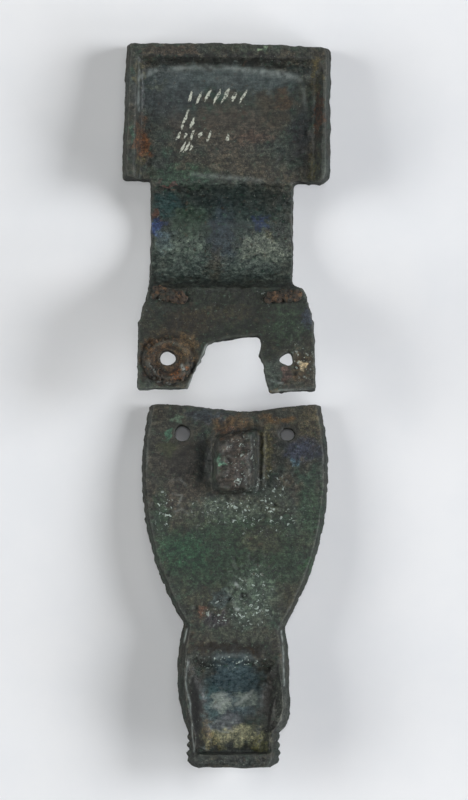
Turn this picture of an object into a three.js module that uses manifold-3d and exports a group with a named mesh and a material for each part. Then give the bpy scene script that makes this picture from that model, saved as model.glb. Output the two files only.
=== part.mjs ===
// A cast bronze bow brooch in two fragments. It lies face down, so its hollow back looks up.
// Millimetres. +Z is up, and +Y runs from the animal-head foot to the rectangular head plate.
import * as THREE from "three";
import { mergeVertices } from "three/addons/utils/BufferGeometryUtils.js";
import Module from "manifold-3d";

const wasm = await Module();
wasm.setup();

// Sizes. Each fragment is drawn with its back up, near z = 0, and its break edge at y = 0.

// Head plate: a rectangle, cast with a shallow tray in its back
const headLength = 18.1;
const headWidth = 27.1;
const headCentre = 0.05;
const headTaper = 0.35; // how much narrower the top edge is
const headTurn = 1.2; // degrees, clockwise as seen from the back
const headCrown = 0.3; // how far the top edge bows outwards
const headDepth = 4.0; // rim to front border
const headFlare = 0.5; // the rim is this much smaller all round than the widest line
const headWidestDepth = 3.2; // how deep that widest line lies
const headFrontChamfer = 0.3;
const headCornerRadius = 0.45;
const headWornCornerRadius = 0.9;
const headChip = 0.8; // the lower right corner is broken off
const trayDepth = 1.6;
const trayLeftRim = 1.35;
const trayRightRim = 0.6;
const trayTopRim = 1.5;
const trayWallRun = 0.5; // how far the side walls lean in towards the floor
const trayRightWallRun = 1.1;
const trayTopWallRun = 1.5;
const trayCornerRadius = 1.2;
const trayFloorCornerRadius = 3.0;
const trayOpening = 0.5; // how far the tray's cutter runs out over the plate's lower edge

// Front of the head plate: a notched border round a sunken field with three raised panels
const headBorder = 1.9;
const headFieldDepth = 1.1; // how far the field lies behind the border
const headPanelHeight = 0.8;
const headPanelGap = 0.9;
const headSidePanelWidth = 4.6;
const headPanelDraft = 0.25;
const headFieldCornerRadius = 0.4;
const carvingWidth = 0.7;
const carvingDepth = 0.45;
const carvingMargin = 0.85; // from the ends of the carved lines to the edge of their panel

// Bow: an arch with a rib along each edge and one down the middle of its front
const bowStart = 13.3; // where the arch leaves the foot plate
const bowSpan = 14.0;
const bowDepth = 4.65; // inside, below the line that joins its two ends
const bowWall = 1.3;
const bowRoundness = 2.6; // 2 is a parabola, and more is flatter in the middle
const bowLeft = 10.0; // from the centre line to the left edge
const bowRight = 8.55;
const bowMiddleRib = 0.6;
const bowEdgeRib = 0.35;
const bowToHead = 0.4; // from the end of the arch to the lower edge of the head plate
const bowInHead = 0.8; // how far the strip of the bow runs on into the solid of the plate
const headBottom = bowStart + bowSpan + bowToHead; // from the lug ends to the plate's lower edge

// Top of the foot plate, with the two lugs that the broken-out notch leaves
const lugBackDrop = 0.5; // how far its back lies below the rim of the head plate
const plateThickness = 1.45;
const borderHeight = 0.75;
const borderWidth = 1.7;
const ridgeHeight = 0.85;
const ridgeWidth = 2.2;
const reliefSlope = 0.3;
const lugRootLeft = 10.3; // half widths of the plate, from the centre line
const lugRootRight = 10.2;
const lugHalfWidth = 11.5;
const lugShoulder = 4.4; // how far below the bow the plate reaches its full width
const lugCornerRise = 0.3; // how the corners between plate and bow run out
const lugEndLeft = 0.15; // the broken ends lie this far above the break line
const lugEndRightInner = -0.35;
const lugEndRightOuter = 0.1;

// Foot plate: a leaf that is widest near the break and narrows to the neck
const footLength = 29.1;
const footCentre = 1.05;
const footBreakHalfWidth = 11.25;
const footWidestHalfWidth = 12.25;
const footWidestAt = 8.2; // below the break
const footNeckHalfWidth = 6.45;
const footShoulderPower = 1.7;
const footTaperPower = 2.17;
const footFlare = 0.6; // the back is this much smaller all round than the front border
const breakDip = 1.0;
const breakDipAt = 1.85; // right of the centre line
const toothPitch = 1.35; // notches that bead the border
const toothWidth = 0.75;
const toothDepth = 0.6;
const toothInnerDepth = 0.3; // the notches get shallower towards the middle of the plate
const headToothDepth = 0.4;
const headToothMargin = 1.5; // from the corners of the head plate to the first notch
const veinTop = 4.2; // carved strokes on the leaf, from the break to the first of them
const veinBottom = 6.5; // and from the last of them to the neck
const veinGap = 0.95; // from the ends of a stroke to the ridge and to the border
const veinWidth = 1.0;
const veinDepth = 0.45;

// Rivet holes
const lugHoleSpacing = 15.4;
const lugHoleRaise = 4.15; // above the lug ends
const lugHoleOffset = 0.1; // of the middle between them, from the centre line
const lugHoleStagger = 0.15; // how much nearer the lug ends the right hole is
const lugHoleRadius = 1.05;
const lugHoleRightRadius = 0.86;
const footHoleSpacing = 13.65;
const footHoleDrop = 3.8; // below the break
const footHoleStagger = 0.1; // how much further down the right hole is
const footHoleRadius = 1.02;
const footHoleRightRadius = 0.9;

// Stub of the catch plate, cast with the foot
const stubWidth = 5.6;
const stubLength = 8.5;
const stubHeight = 2.2;
const stubTop = 3.3; // below the break
const stubDraft = 0.35;
const stubSlant = 1.1; // how much lower the left end of its top edge is
const stubLowRadius = 0.9;
const stubLeftRadius = 0.7;
const stubRightRadius = 0.3;
const stubFillet = 0.35; // how far its foot spreads over the plate
const stubFilletHeight = 0.5;

// Animal head at the end of the foot
const beastLength = 18.3;
const beastShift = -0.2; // of its centre line from that of the foot plate
const beastCheekBulge = 1.2;
const beastSnoutHalfWidth = 5.9;
const beastSnoutLength = 4.6;
const beastRibs = 4;
const beastRibSwell = 0.2;
const beastDepth = 5.8; // back rim to the crown of the head
const beastNoseDepth = 4.7;
const beastRibHeight = 0.35;
const beastNeck = 1.0; // how far the head runs on into the foot plate
const beastNoseRounding = 1.2; // how much its front draws back at the very end
const beastEdgeDepth = 2.3; // how deep the widest line lies below the back rim
const beastEyeRadius = 1.5;
const beastEyeHeight = 0.9; // how far it stands out of the head
const beastEyeSpacing = 8.0;
const beastEyeAt = 8.2; // below the neck
const beastBrowThickness = 0.55;
const beastCrest = 0.4; // the ridge down the middle of the nose
const cavityStart = 3.9; // below the neck
const cavityEndRim = 1.7;
const cavityRim = 1.0;
const cavityDepth = 3.0;
const cavityFall = 0.42; // the share of its length over which the floor falls to full depth
const cavityLipRise = 1.0;
const cavityUndercut = 1.4;
const cavityFloorHalfWidth = 4.2;
const cavityWaist = 1.2;
const cavitySide = 0.6; // between the rim and the edge of the floor

// Iron remains on the back, at the root of the bow
const ironLength = 4.6;
const ironWidth = 2.2;
const ironHeight = 1.0;
const ironClearance = 0.3;
const ironDrop = 1.2; // from the root of the bow to the middle of the lumps
const ironLeftInset = 2.8; // from the left edge of the bow
const ironRightInset = 1.05;

// The gap in which the two fragments lie apart
const fragmentGap = 2.0;

// How far a cutter stands clear of the face that it cuts, how far it reaches through a plate,
// and how far two solids of one casting run into each other
const cutterSpare = 0.4;
const cutterReach = 12;
const seam = 0.1;

// Small helpers

const lerp = THREE.MathUtils.lerp;
const smoothstep = THREE.MathUtils.smoothstep;
const radians = THREE.MathUtils.degToRad;

// Evenly spaced shares from 0 to 1.
function shares(count) {
  return Array.from({ length: count + 1 }, (_, i) => i / count);
}

// Shares from 0 to 1 that crowd together at both ends.
function crowdedShares(count) {
  return shares(count).map((t) => (1 - Math.cos(Math.PI * t)) / 2);
}

// A closed solid from its points and faces, turned right side out.
function solidFrom(points, faces) {
  const raw = new THREE.BufferGeometry().setFromPoints(points);
  raw.setIndex(faces.flat());
  const merged = mergeVertices(raw, 1e-4);
  const vertProperties = merged.attributes.position.array;
  const triVerts = new Uint32Array(merged.index.array);
  const made = new wasm.Manifold(new wasm.Mesh({ numProp: 3, vertProperties, triVerts }));
  if (made.volume() > 0) return made;
  return new wasm.Manifold(
    new wasm.Mesh({ numProp: 3, vertProperties, triVerts: triVerts.reverse() }),
  );
}

// The solid between two grids of points, one on the back and one on the front.
// Rows follow +Y and columns follow +X.
function slab(back, front) {
  const rows = back.length;
  const columns = back[0].length;
  const lower = rows * columns;
  const at = (row, column) => row * columns + column;
  const faces = [];
  const quad = (a, b, c, d) => faces.push([a, b, c], [a, c, d]);
  for (let row = 0; row < rows - 1; row++) {
    for (let column = 0; column < columns - 1; column++) {
      const corners = [
        at(row, column),
        at(row, column + 1),
        at(row + 1, column + 1),
        at(row + 1, column),
      ];
      quad(...corners);
      quad(...corners.map((corner) => corner + lower).reverse());
    }
  }
  for (let column = 0; column < columns - 1; column++) {
    const [a, b] = [at(0, column), at(0, column + 1)];
    const [c, d] = [at(rows - 1, column), at(rows - 1, column + 1)];
    quad(a + lower, b + lower, b, a);
    quad(d + lower, c + lower, c, d);
  }
  for (let row = 0; row < rows - 1; row++) {
    const [a, b] = [at(row, 0), at(row + 1, 0)];
    const [c, d] = [at(row, columns - 1), at(row + 1, columns - 1)];
    quad(b + lower, a + lower, a, b);
    quad(c + lower, d + lower, d, c);
  }
  return solidFrom([...back.flat(), ...front.flat()], faces);
}

// The solid that joins sections of equal counts of points, with a flat cap at each end.
function skin(sections) {
  const count = sections[0].length;
  const faces = [];
  sections.slice(1).forEach((_, k) => {
    for (let i = 0; i < count; i++) {
      const next = (i + 1) % count;
      const [a, b] = [k * count + i, k * count + next];
      faces.push([a, b, b + count], [a, b + count, a + count]);
    }
  });
  const flat = sections[0].map((point) => new THREE.Vector2(point.x, point.y));
  const level = sections[0].every((point) => point.z === sections[0][0].z);
  const cap = level ? planFaces(flat) : fanFaces(count);
  const last = (sections.length - 1) * count;
  for (const [a, b, c] of cap) {
    faces.push([a, c, b], [a + last, b + last, c + last]);
  }
  return solidFrom(sections.flat(), faces);
}

function fanFaces(count) {
  return Array.from({ length: count - 2 }, (_, i) => [0, i + 1, i + 2]);
}

// Triangles that fill an outline and run the same way round as it does.
function planFaces(outline) {
  const way = Math.sign(THREE.ShapeUtils.area(outline));
  return THREE.ShapeUtils.triangulateShape(outline, []).map(([a, b, c]) => {
    const same = Math.sign(THREE.ShapeUtils.area([outline[a], outline[b], outline[c]])) === way;
    return same ? [a, b, c] : [a, c, b];
  });
}

// A plan outline at one height.
function level(outline, z) {
  return outline.map((point) => new THREE.Vector3(point.x, point.y, z));
}

// An outline with its corners rounded. Each corner is [x, y, radius], listed counter-clockwise.
function roundedOutline(corners, steps = 3) {
  const count = corners.length;
  return corners.flatMap(([x, y, radius], i) => {
    const corner = new THREE.Vector2(x, y);
    const before = new THREE.Vector2(...corners[(i + count - 1) % count]).sub(corner);
    const after = new THREE.Vector2(...corners[(i + 1) % count]).sub(corner);
    const start = corner.clone().add(before.setLength(radius));
    const end = corner.clone().add(after.setLength(radius));
    const curve = new THREE.QuadraticBezierCurve(start, corner, end);
    return curve.getPoints(steps);
  });
}

// The V-shaped cutter of a carved line on a front face, along a path of [x, y] points.
function groove(path, width, depth, faceZ, endDepth = depth) {
  const points = path.map(([x, y]) => new THREE.Vector2(x, y));
  return skin(
    points.map((point, i) => {
      const ahead = points[Math.min(i + 1, points.length - 1)];
      const behind = points[Math.max(i - 1, 0)];
      const way = ahead.clone().sub(behind).normalize();
      const here = lerp(depth, endDepth, i / (points.length - 1));
      const reach = (width / 2) * (1 + cutterSpare / here);
      const side = new THREE.Vector2(-way.y, way.x).multiplyScalar(reach);
      return [
        new THREE.Vector3(point.x + side.x, point.y + side.y, faceZ - cutterSpare),
        new THREE.Vector3(point.x - side.x, point.y - side.y, faceZ - cutterSpare),
        new THREE.Vector3(point.x, point.y, faceZ + here),
      ];
    }),
  );
}

// A rivet hole that wear has left out of round: swell is the share of its radius that it is out by,
// and lobes says in what shape.
function wornHole(x, y, radius, swell, lobes, turn) {
  const sides = 14;
  const outline = Array.from({ length: sides }, (_, i) => {
    const angle = (i / sides) * 2 * Math.PI;
    const r = radius * (1 + swell * Math.cos(lobes * (angle - turn)));
    return new THREE.Vector2(x + r * Math.cos(angle), y + r * Math.sin(angle));
  });
  return skin([level(outline, -cutterReach), level(outline, cutterReach)]);
}

// A straight-edged line through a few [place, value] stops: its value at one place.
function along(stops, place) {
  const next = stops.findIndex(([at]) => at >= place);
  const last = next < 0 ? stops.length - 1 : Math.max(1, next);
  const [a, from] = stops[last - 1];
  const [b, to] = stops[last];
  return lerp(from, to, THREE.MathUtils.clamp((place - a) / (b - a), 0, 1));
}

// Head plate

const headTop = headBottom + headLength;
const headFrontZ = -headDepth;
const headFieldZ = headFrontZ + headFieldDepth;
const headMiddle = new THREE.Vector2(headCentre, (headBottom + headTop) / 2);

// Turns an outline that is drawn square to the plate's own centre into its place.
function onHead(outline) {
  const turn = -radians(headTurn);
  return outline.map((point) => {
    return point.clone().rotateAround(new THREE.Vector2(), turn).add(headMiddle);
  });
}

// The plate's outline, drawn in from its widest line on the three free sides.
function headOutline(inset) {
  const low = -headLength / 2;
  const high = headLength / 2 - inset;
  const half = headWidth / 2 - inset;
  const halfTop = half - headTaper / 2;
  return onHead(
    roundedOutline([
      [-half, low, headCornerRadius],
      [half - headChip, low, headCornerRadius],
      [half, low + headChip, headCornerRadius],
      [halfTop, high, headWornCornerRadius],
      [0, high + headCrown, headCornerRadius],
      [-halfTop, high, headCornerRadius],
    ]),
  );
}

// The tray is open towards the bow, so its cutter runs out over the plate's lower edge.
function trayCutter() {
  const open = -headLength / 2 - trayOpening;
  const section = (share) => {
    const left = -headWidth / 2 + headFlare + trayLeftRim - headTaper / 2 + trayWallRun * share;
    const right = headWidth / 2 - headFlare - trayRightRim - trayRightWallRun * share;
    const top = headLength / 2 - headFlare - trayTopRim - trayTopWallRun * share;
    const corner = lerp(trayCornerRadius, trayFloorCornerRadius, share);
    const outline = roundedOutline([
      [left, open, seam],
      [right, open, seam],
      [right, top, corner],
      [left, top, corner / 2],
    ], 4);
    return onHead(outline);
  };
  const lift = cutterSpare / trayDepth;
  return skin([level(section(1), -trayDepth), level(section(-lift), cutterSpare)]);
}

// A raised panel on the front, with sides that slope in towards its face.
function frontPanel(centreX, width, height) {
  const section = (inset, z) => {
    const [x, y] = [width / 2 - inset, height / 2 - inset];
    const outline = [
      [centreX - x, -y],
      [centreX + x, -y],
      [centreX + x, y],
      [centreX - x, y],
    ].map((point) => new THREE.Vector2(...point));
    return level(onHead(outline), z);
  };
  const faceZ = headFieldZ - headPanelHeight;
  return skin([section(headPanelDraft, faceZ), section(0, headFieldZ + seam)]);
}

// A zigzag of carved lines across a panel; two that mirror each other make a chain of lozenges.
function zigzag(centreX, halfWidth, halfHeight, turns, side, faceZ) {
  const path = shares(turns).map((t, i) => {
    const x = centreX + side * halfWidth * (i % 2 ? 1 : -1);
    return new THREE.Vector2(x, lerp(-halfHeight, halfHeight, t));
  });
  const placed = onHead(path).map((point) => [point.x, point.y]);
  return groove(placed, carvingWidth, carvingDepth, faceZ);
}

function headPlate() {
  const outer = skin([
    level(headOutline(headFrontChamfer), headFrontZ),
    level(headOutline(0), -headWidestDepth),
    level(headOutline(headFlare), 0),
  ]);
  const fieldWidth = headWidth - headTaper - 2 * headBorder;
  const fieldHeight = headLength - 2 * headBorder;
  const field = (inset, z) => {
    const [x, y] = [fieldWidth / 2 - inset, fieldHeight / 2 - inset];
    const outline = roundedOutline([
      [-x, -y, headFieldCornerRadius],
      [x, -y, headFieldCornerRadius],
      [x, y, headFieldCornerRadius],
      [-x, y, headFieldCornerRadius],
    ], 2);
    return level(onHead(outline), z);
  };
  let plate = outer.subtract(
    skin([field(-headPanelDraft, headFrontZ - cutterSpare), field(headPanelDraft, headFieldZ)]),
  );

  const panelHeight = fieldHeight - 2 * headPanelGap;
  const sideCentre = fieldWidth / 2 - headPanelGap - headSidePanelWidth / 2;
  const middleWidth = 2 * (sideCentre - headSidePanelWidth / 2 - headPanelGap);
  const faceZ = headFieldZ - headPanelHeight;
  const carve = (centre, width, turns, sides) => {
    plate = plate.add(frontPanel(centre, width, panelHeight));
    for (const side of sides) {
      const halfWidth = width / 2 - carvingMargin;
      const halfHeight = panelHeight / 2 - carvingMargin;
      plate = plate.subtract(zigzag(centre, halfWidth, halfHeight, turns, side, faceZ));
    }
  };
  carve(-sideCentre, headSidePanelWidth, 6, [1]);
  carve(sideCentre, headSidePanelWidth, 6, [-1]);
  carve(0, middleWidth, 4, [1, -1]);

  for (const notch of headBorderNotches()) {
    plate = plate.subtract(notch);
  }
  return plate;
}

// Notches across the border on the three free sides of the plate.
function headBorderNotches() {
  const half = headWidth / 2;
  const high = headLength / 2;
  const notch = (x, y, dx, dy) => {
    const reach = headBorder * 0.7;
    const ends = [
      new THREE.Vector2(x - dx * cutterSpare, y - dy * cutterSpare),
      new THREE.Vector2(x + dx * reach, y + dy * reach),
    ];
    const placed = onHead(ends).map((point) => [point.x, point.y]);
    return groove(placed, toothWidth, headToothDepth, headFrontZ, toothInnerDepth);
  };
  const across = Math.floor((headWidth - 2 * headToothMargin) / toothPitch);
  const up = Math.floor((headLength - 2 * headToothMargin) / toothPitch);
  const top = shares(across).map((t) => {
    return notch(lerp(headToothMargin - half, half - headToothMargin, t), high, 0, -1);
  });
  const sides = shares(up).flatMap((t) => {
    const y = lerp(headToothMargin - high, high - headToothMargin, t);
    const lean = (headTaper / 2) * t;
    return [notch(lean - half, y, 1, 0), notch(half - lean, y, -1, 0)];
  });
  return [...top, ...sides];
}

// Bow and the top of the foot plate, as one strip that is bent through the arch

const bowMiddle = bowStart + bowSpan / 2;
const bowEnd = bowStart + bowSpan;
const lugBackZ = -lugBackDrop;
const lugFrontZ = lugBackZ - plateThickness;
const stripStep = 0.1; // how unevenly the strip's edges run

// The strip's two edges, measured from the centre line at a place along the brooch.
function stripEdges(y) {
  const shoulder = bowStart - lugShoulder;
  const right = [
    [0, lugHalfWidth],
    [shoulder, lugHalfWidth - 2 * stripStep],
    [bowStart - lugCornerRise, lugRootRight],
    [bowStart + 3 * lugCornerRise, bowRight],
    [bowEnd, bowRight + stripStep],
  ];
  const left = [
    [0, lugHalfWidth + stripStep],
    [shoulder, lugHalfWidth],
    [bowStart - 2 * lugCornerRise, lugRootLeft],
    [bowStart + 4 * lugCornerRise, bowLeft + stripStep],
    [bowEnd, bowLeft - stripStep],
  ];
  return [-along(left, y), along(right, y)];
}

// The front of a plate with a border along each edge and a ridge down the middle.
// Each entry is where a line of the relief lies across the plate and how far it stands out.
function reliefColumns(left, right, middle) {
  const sunk = 0;
  return [
    [left, borderHeight],
    [left + borderWidth, borderHeight],
    [left + borderWidth + reliefSlope, sunk],
    [(left + borderWidth + middle) / 2, sunk],
    [middle - ridgeWidth / 2 - reliefSlope, sunk],
    [middle - ridgeWidth / 4, ridgeHeight * 0.8],
    [middle, ridgeHeight],
    [middle + ridgeWidth / 4, ridgeHeight * 0.8],
    [middle + ridgeWidth / 2 + reliefSlope, sunk],
    [(right - borderWidth + middle) / 2, sunk],
    [right - borderWidth - reliefSlope, sunk],
    [right - borderWidth, borderHeight],
    [right, borderHeight],
  ];
}

// Where the broken end of each lug lies, at a place across the plate.
function lugEnd(x) {
  if (x < 0) return lugEndLeft;
  return lerp(lugEndRightInner, lugEndRightOuter, smoothstep(x, lugHalfWidth / 2, lugHalfWidth));
}

function strip() {
  const lugRows = [0, 0.25, 0.5, 0.66, 0.82, 0.93];
  const archRows = shares(12).map((t) => Math.sin((t - 0.5) * Math.PI));
  const bowEndFrontZ = headFieldZ - headPanelHeight / 2;
  const back = [];
  const front = [];
  const row = (y, z, frontY, frontZ, ribShare) => {
    const [left, right] = stripEdges(y);
    const middle = (left + right) / 2;
    const columns = reliefColumns(left, right, middle);
    const count = columns.length - 1;
    const broken = (x) => (y === 0 ? lugEnd(x) : 0);
    back.push(
      columns.map((_, i) => {
        const x = lerp(left, right, i / count);
        return new THREE.Vector3(x, y + broken(x), z);
      }),
    );
    front.push(
      columns.map(([x, height]) => {
        const bowRib = Math.abs(x - middle) < ridgeWidth ? bowMiddleRib : bowEdgeRib;
        const rib = height > 0 ? lerp(height, bowRib, ribShare) : 0;
        return new THREE.Vector3(x, frontY + broken(x), frontZ - rib);
      }),
    );
  };
  for (const share of lugRows) {
    row(share * bowStart, lugBackZ, share * (bowStart - bowWall), lugFrontZ, 0);
  }
  for (const s of archRows) {
    const t = (s + 1) / 2;
    const arch = 1 - Math.abs(s) ** bowRoundness;
    const backZ = lerp(lugBackZ, -trayDepth, t) - bowDepth * arch;
    const crownZ = lerp(lugBackZ, -trayDepth, 0.5) - bowDepth - bowWall;
    const frontEnd = lerp(lugFrontZ, bowEndFrontZ, t);
    const middleEnd = lerp(lugFrontZ, bowEndFrontZ, 0.5);
    const frontZ = frontEnd + (crownZ - middleEnd) * arch;
    const y = bowMiddle + (s * bowSpan) / 2;
    const frontY = bowMiddle + s * (bowSpan / 2 + bowWall);
    row(y, backZ, frontY, frontZ, Math.min(1, arch * 2));
  }
  row(bowEnd + bowInHead, -trayDepth - seam, bowEnd + bowWall + seam, bowEndFrontZ - seam, 1);
  return slab(back, front);
}

// The piece that broke out between the lugs, as the points where its ragged edge turns. They are
// measured on a plate whose half width is raggedScale.
const raggedScale = 11.5;

function notchCutter() {
  const ragged = [
    [-5.3, -0.6],
    [-4.75, 0.85],
    [-3.86, 3.02],
    [-2.99, 4.59],
    [-2.6, 5.77],
    [-1.63, 6.37],
    [0.52, 6.76],
    [4.23, 7.05],
    [4.42, 5.97],
    [4.16, 4.59],
    [4.62, 3.41],
    [5.01, 1.44],
    [5.6, -0.6],
  ].map((point) => new THREE.Vector2(...point).multiplyScalar(lugHalfWidth / raggedScale));
  const outline = ragged.reverse();
  return skin([level(outline, -cutterReach / 2), level(outline, cutterReach / 4)]);
}

function headFragment() {
  const leftX = lugHoleOffset - lugHoleSpacing / 2;
  const rightX = lugHoleOffset + lugHoleSpacing / 2;
  const rightY = lugHoleRaise - lugHoleStagger;
  return headPlate()
    .add(strip())
    .subtract(trayCutter())
    .subtract(notchCutter())
    .subtract(wornHole(leftX, lugHoleRaise, lugHoleRadius, 0.04, 3, 0))
    .subtract(wornHole(rightX, rightY, lugHoleRightRadius, 0.17, 3, radians(-50)));
}

// Foot plate

// Half the width of the leaf at a distance below the break.
function footHalfWidth(drop) {
  if (drop < footWidestAt) {
    const t = 1 - drop / footWidestAt;
    return footWidestHalfWidth - (footWidestHalfWidth - footBreakHalfWidth) * t ** footShoulderPower;
  }
  const t = Math.min(1, (drop - footWidestAt) / (footLength - footWidestAt));
  return footWidestHalfWidth - (footWidestHalfWidth - footNeckHalfWidth) * t ** footTaperPower;
}

// How far the broken edge lies below its ends, at a place across the plate.
function breakLine(x) {
  const reach = footBreakHalfWidth;
  const fromLeft = (x + reach) / (breakDipAt + reach);
  const fromRight = (reach - x) / (reach - breakDipAt);
  return -breakDip * smoothstep(Math.min(fromLeft, fromRight), 0.12, 1.1);
}

function footPlate() {
  const rows = shares(16);
  const back = [];
  const front = [];
  for (const share of rows) {
    const drop = footLength * (1 - share);
    const fade = drop < footWidestAt ? 1 - drop / footWidestAt : 0;
    const half = footHalfWidth(drop);
    const columns = reliefColumns(-half, half, 0);
    const count = columns.length - 1;
    back.push(
      columns.map((_, i) => {
        const x = lerp(footFlare - half, half - footFlare, i / count);
        return new THREE.Vector3(x, -drop + fade * breakLine(x), 0);
      }),
    );
    front.push(
      columns.map(([x, height]) => {
        return new THREE.Vector3(x, -drop + fade * breakLine(x), -plateThickness - height);
      }),
    );
  }
  let plate = slab(back, front);
  for (const notch of footBorderNotches()) {
    plate = plate.subtract(notch);
  }
  for (const stroke of footCarving()) {
    plate = plate.subtract(stroke);
  }
  return plate;
}

// Notches that bead the border, each square to the leaf's edge.
function footBorderNotches() {
  const faceZ = -plateThickness - borderHeight;
  const count = Math.floor(footLength / toothPitch) - 1;
  return Array.from({ length: count }, (_, i) => (i + 0.7) * toothPitch).flatMap((drop) => {
    const half = footHalfWidth(drop);
    const slope = (footHalfWidth(drop + seam) - footHalfWidth(drop - seam)) / (2 * seam);
    const square = new THREE.Vector2(1, slope).normalize();
    return [-1, 1].map((side) => {
      const point = (reach) => [side * (half + reach * square.x), reach * square.y - drop];
      const path = [point(cutterSpare), point(-borderWidth)];
      return groove(path, toothWidth, toothDepth, faceZ, toothInnerDepth);
    });
  });
}

// Oblique carved strokes in the two sunk fields of the leaf, like the veins of a leaf.
function footCarving() {
  const strokes = 8;
  return shares(strokes - 1).flatMap((t) => {
    const drop = lerp(veinTop, footLength - veinBottom, t);
    const inner = ridgeWidth / 2 + veinGap;
    const outer = footHalfWidth(drop) - borderWidth - veinGap;
    const rise = (outer - inner) * 0.45;
    return [-1, 1].map((side) => {
      const path = [
        [side * inner, -drop],
        [side * lerp(inner, outer, 0.5), -drop + rise * 0.35],
        [side * outer, -drop + rise],
      ];
      return groove(path, veinWidth, veinDepth, -plateThickness, toothInnerDepth);
    });
  });
}

// The broken stub, whose top edge slants.
function catchStub() {
  const section = (inset, z) => {
    const half = stubWidth / 2 - inset;
    const low = -stubTop - stubLength + inset;
    const high = -stubTop - inset;
    const outline = roundedOutline([
      [-half, low, stubLowRadius],
      [half, low + stubSlant / 4, stubLowRadius],
      [half, high, stubRightRadius],
      [-half, high - stubSlant, stubLeftRadius],
    ]);
    return level(outline, z);
  };
  return skin([
    section(stubDraft / 4 - stubFillet, -plateThickness / 4),
    section(stubDraft / 4, stubFilletHeight),
    section(stubDraft, stubHeight),
  ]);
}

// Animal head

const beastSnoutAt = beastLength - beastSnoutLength;
const beastRibPitch = beastSnoutLength / (beastRibs + 0.4);

// Half the width of the head at a distance below the neck.
function beastHalfWidth(drop) {
  if (drop <= beastSnoutAt) {
    const t = drop / beastSnoutAt;
    const swell = beastCheekBulge * Math.max(0, Math.sin(Math.PI * t)) ** 0.65;
    return lerp(footNeckHalfWidth, beastSnoutHalfWidth, t) + swell;
  }
  const past = drop - beastSnoutAt;
  const rib = Math.abs(Math.sin((past / beastRibPitch) * Math.PI));
  const end = smoothstep(past, beastSnoutLength * 0.8, beastSnoutLength);
  return beastSnoutHalfWidth + beastRibSwell * rib - (end ** 2 * beastNoseRounding) / 2;
}

// How deep the front of the head lies, from the middle line out to its edge.
function beastFrontDepth(drop, side) {
  const rise = smoothstep(drop, -beastNeck / 2, beastEyeAt * 0.75);
  const fall = smoothstep(drop, beastEyeAt * 1.12, beastSnoutAt * 1.07);
  const neck = plateThickness + ridgeHeight;
  const end = smoothstep(drop, beastLength - beastNoseRounding, beastLength) * beastNoseRounding;
  const crown = lerp(neck, beastDepth, rise) - (beastDepth - beastNoseDepth) * fall - end;
  const past = drop - beastSnoutAt;
  const rib = past > 0 ? beastRibHeight * Math.abs(Math.sin((past / beastRibPitch) * Math.PI)) : 0;
  const edge = Math.min(beastEdgeDepth, crown);
  const nose = smoothstep(drop, beastEyeAt * 0.75, beastSnoutAt * 0.93);
  const crest = side === 0 ? beastCrest * nose : 0;
  return edge + (crown + rib - edge) * (1 - Math.abs(side) ** 2.4) + crest;
}

// How deep the hollow is at a share of its length: a scoop whose floor rises to a lip near the
// nose, with a deeper slot behind that lip.
function cavityFloorDepth(t) {
  const wall = smoothstep(t, 0, cavityFall) ** 0.6 * (1 - smoothstep(t, 0.965, 1));
  const lip = cavityLipRise * smoothstep(t, 0.35, 0.86);
  const slot = cavityUndercut * smoothstep(t, 0.87, 0.94);
  return wall * (cavityDepth - lip + slot);
}

function beast() {
  const cavityLength = beastLength - cavityStart - cavityEndRim;
  const neckDrops = [-beastNeck, cavityStart * 0.2, cavityStart * 0.67];
  const cavityShares = crowdedShares(12);
  const endDrops = [0.35, 0.8, 1].map((t) => beastLength - cavityEndRim * (1 - t));
  const cavityDrops = cavityShares.map((t) => cavityStart + cavityLength * t);
  const backDrops = [...neckDrops, ...cavityDrops, ...endDrops];
  const snoutRows = 2 * beastRibs + 1;
  const headRows = backDrops.length - snoutRows;
  const frontDrops = [
    ...shares(headRows - 1).map((t) => lerp(-beastNeck, beastSnoutAt, t)),
    ...Array.from({ length: snoutRows }, (_, i) => {
      return Math.min(beastLength, beastSnoutAt + ((i + 1) * beastRibPitch) / 2);
    }),
  ];
  frontDrops[frontDrops.length - 1] = beastLength - beastNoseRounding / 5;
  const sides = [-1, -0.86, -0.66, -0.44, -0.22, 0, 0.22, 0.44, 0.66, 0.86, 1];
  const back = backDrops.map((drop) => {
    const half = beastHalfWidth(Math.max(0, drop));
    const ridge = half - cavityRim;
    const t = (drop - cavityStart) / cavityLength;
    const inside = t > 0 && t < 1;
    const waist = cavityWaist * Math.exp(-(((t - 0.67) / 0.19) ** 2));
    const floorSide = Math.min(cavityFloorHalfWidth - waist, ridge - cavitySide);
    const floorEdge = inside ? floorSide : ridge * 0.6;
    const depth = inside ? cavityFloorDepth(t) : 0;
    const endDrop = Math.max(0, drop - beastLength + beastNoseRounding / 2);
    const lines = [
      [half, Math.min(beastEdgeDepth, (drop + 1.5 * beastNeck) * 0.9)],
      [ridge, endDrop],
      [(ridge + floorEdge) / 2, depth * 0.62 + endDrop],
      [floorEdge, depth + endDrop],
      [floorEdge / 2, depth * 1.05 + endDrop],
    ];
    const middle = [[0, depth * 1.03 + endDrop]];
    const mirrored = lines.map(([x, z]) => [-x, z]);
    return [...mirrored, ...middle, ...lines.reverse()].map(([x, z]) => {
      return new THREE.Vector3(x, -drop, -z);
    });
  });
  const front = frontDrops.map((drop) => {
    const half = beastHalfWidth(Math.max(0, drop));
    return sides.map((side) => {
      return new THREE.Vector3(side * half, -drop, -beastFrontDepth(drop, side));
    });
  });
  let head = slab(back.reverse(), front.reverse());
  for (const side of [-1, 1]) {
    head = head.add(eye(side)).add(brow(side));
  }
  return head;
}

// A point on the front of the head, sunk into it by a depth.
function onBeast(x, drop, sunk) {
  const depth = beastFrontDepth(drop, x / beastHalfWidth(drop));
  return new THREE.Vector3(x, -drop, sunk - depth);
}

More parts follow.
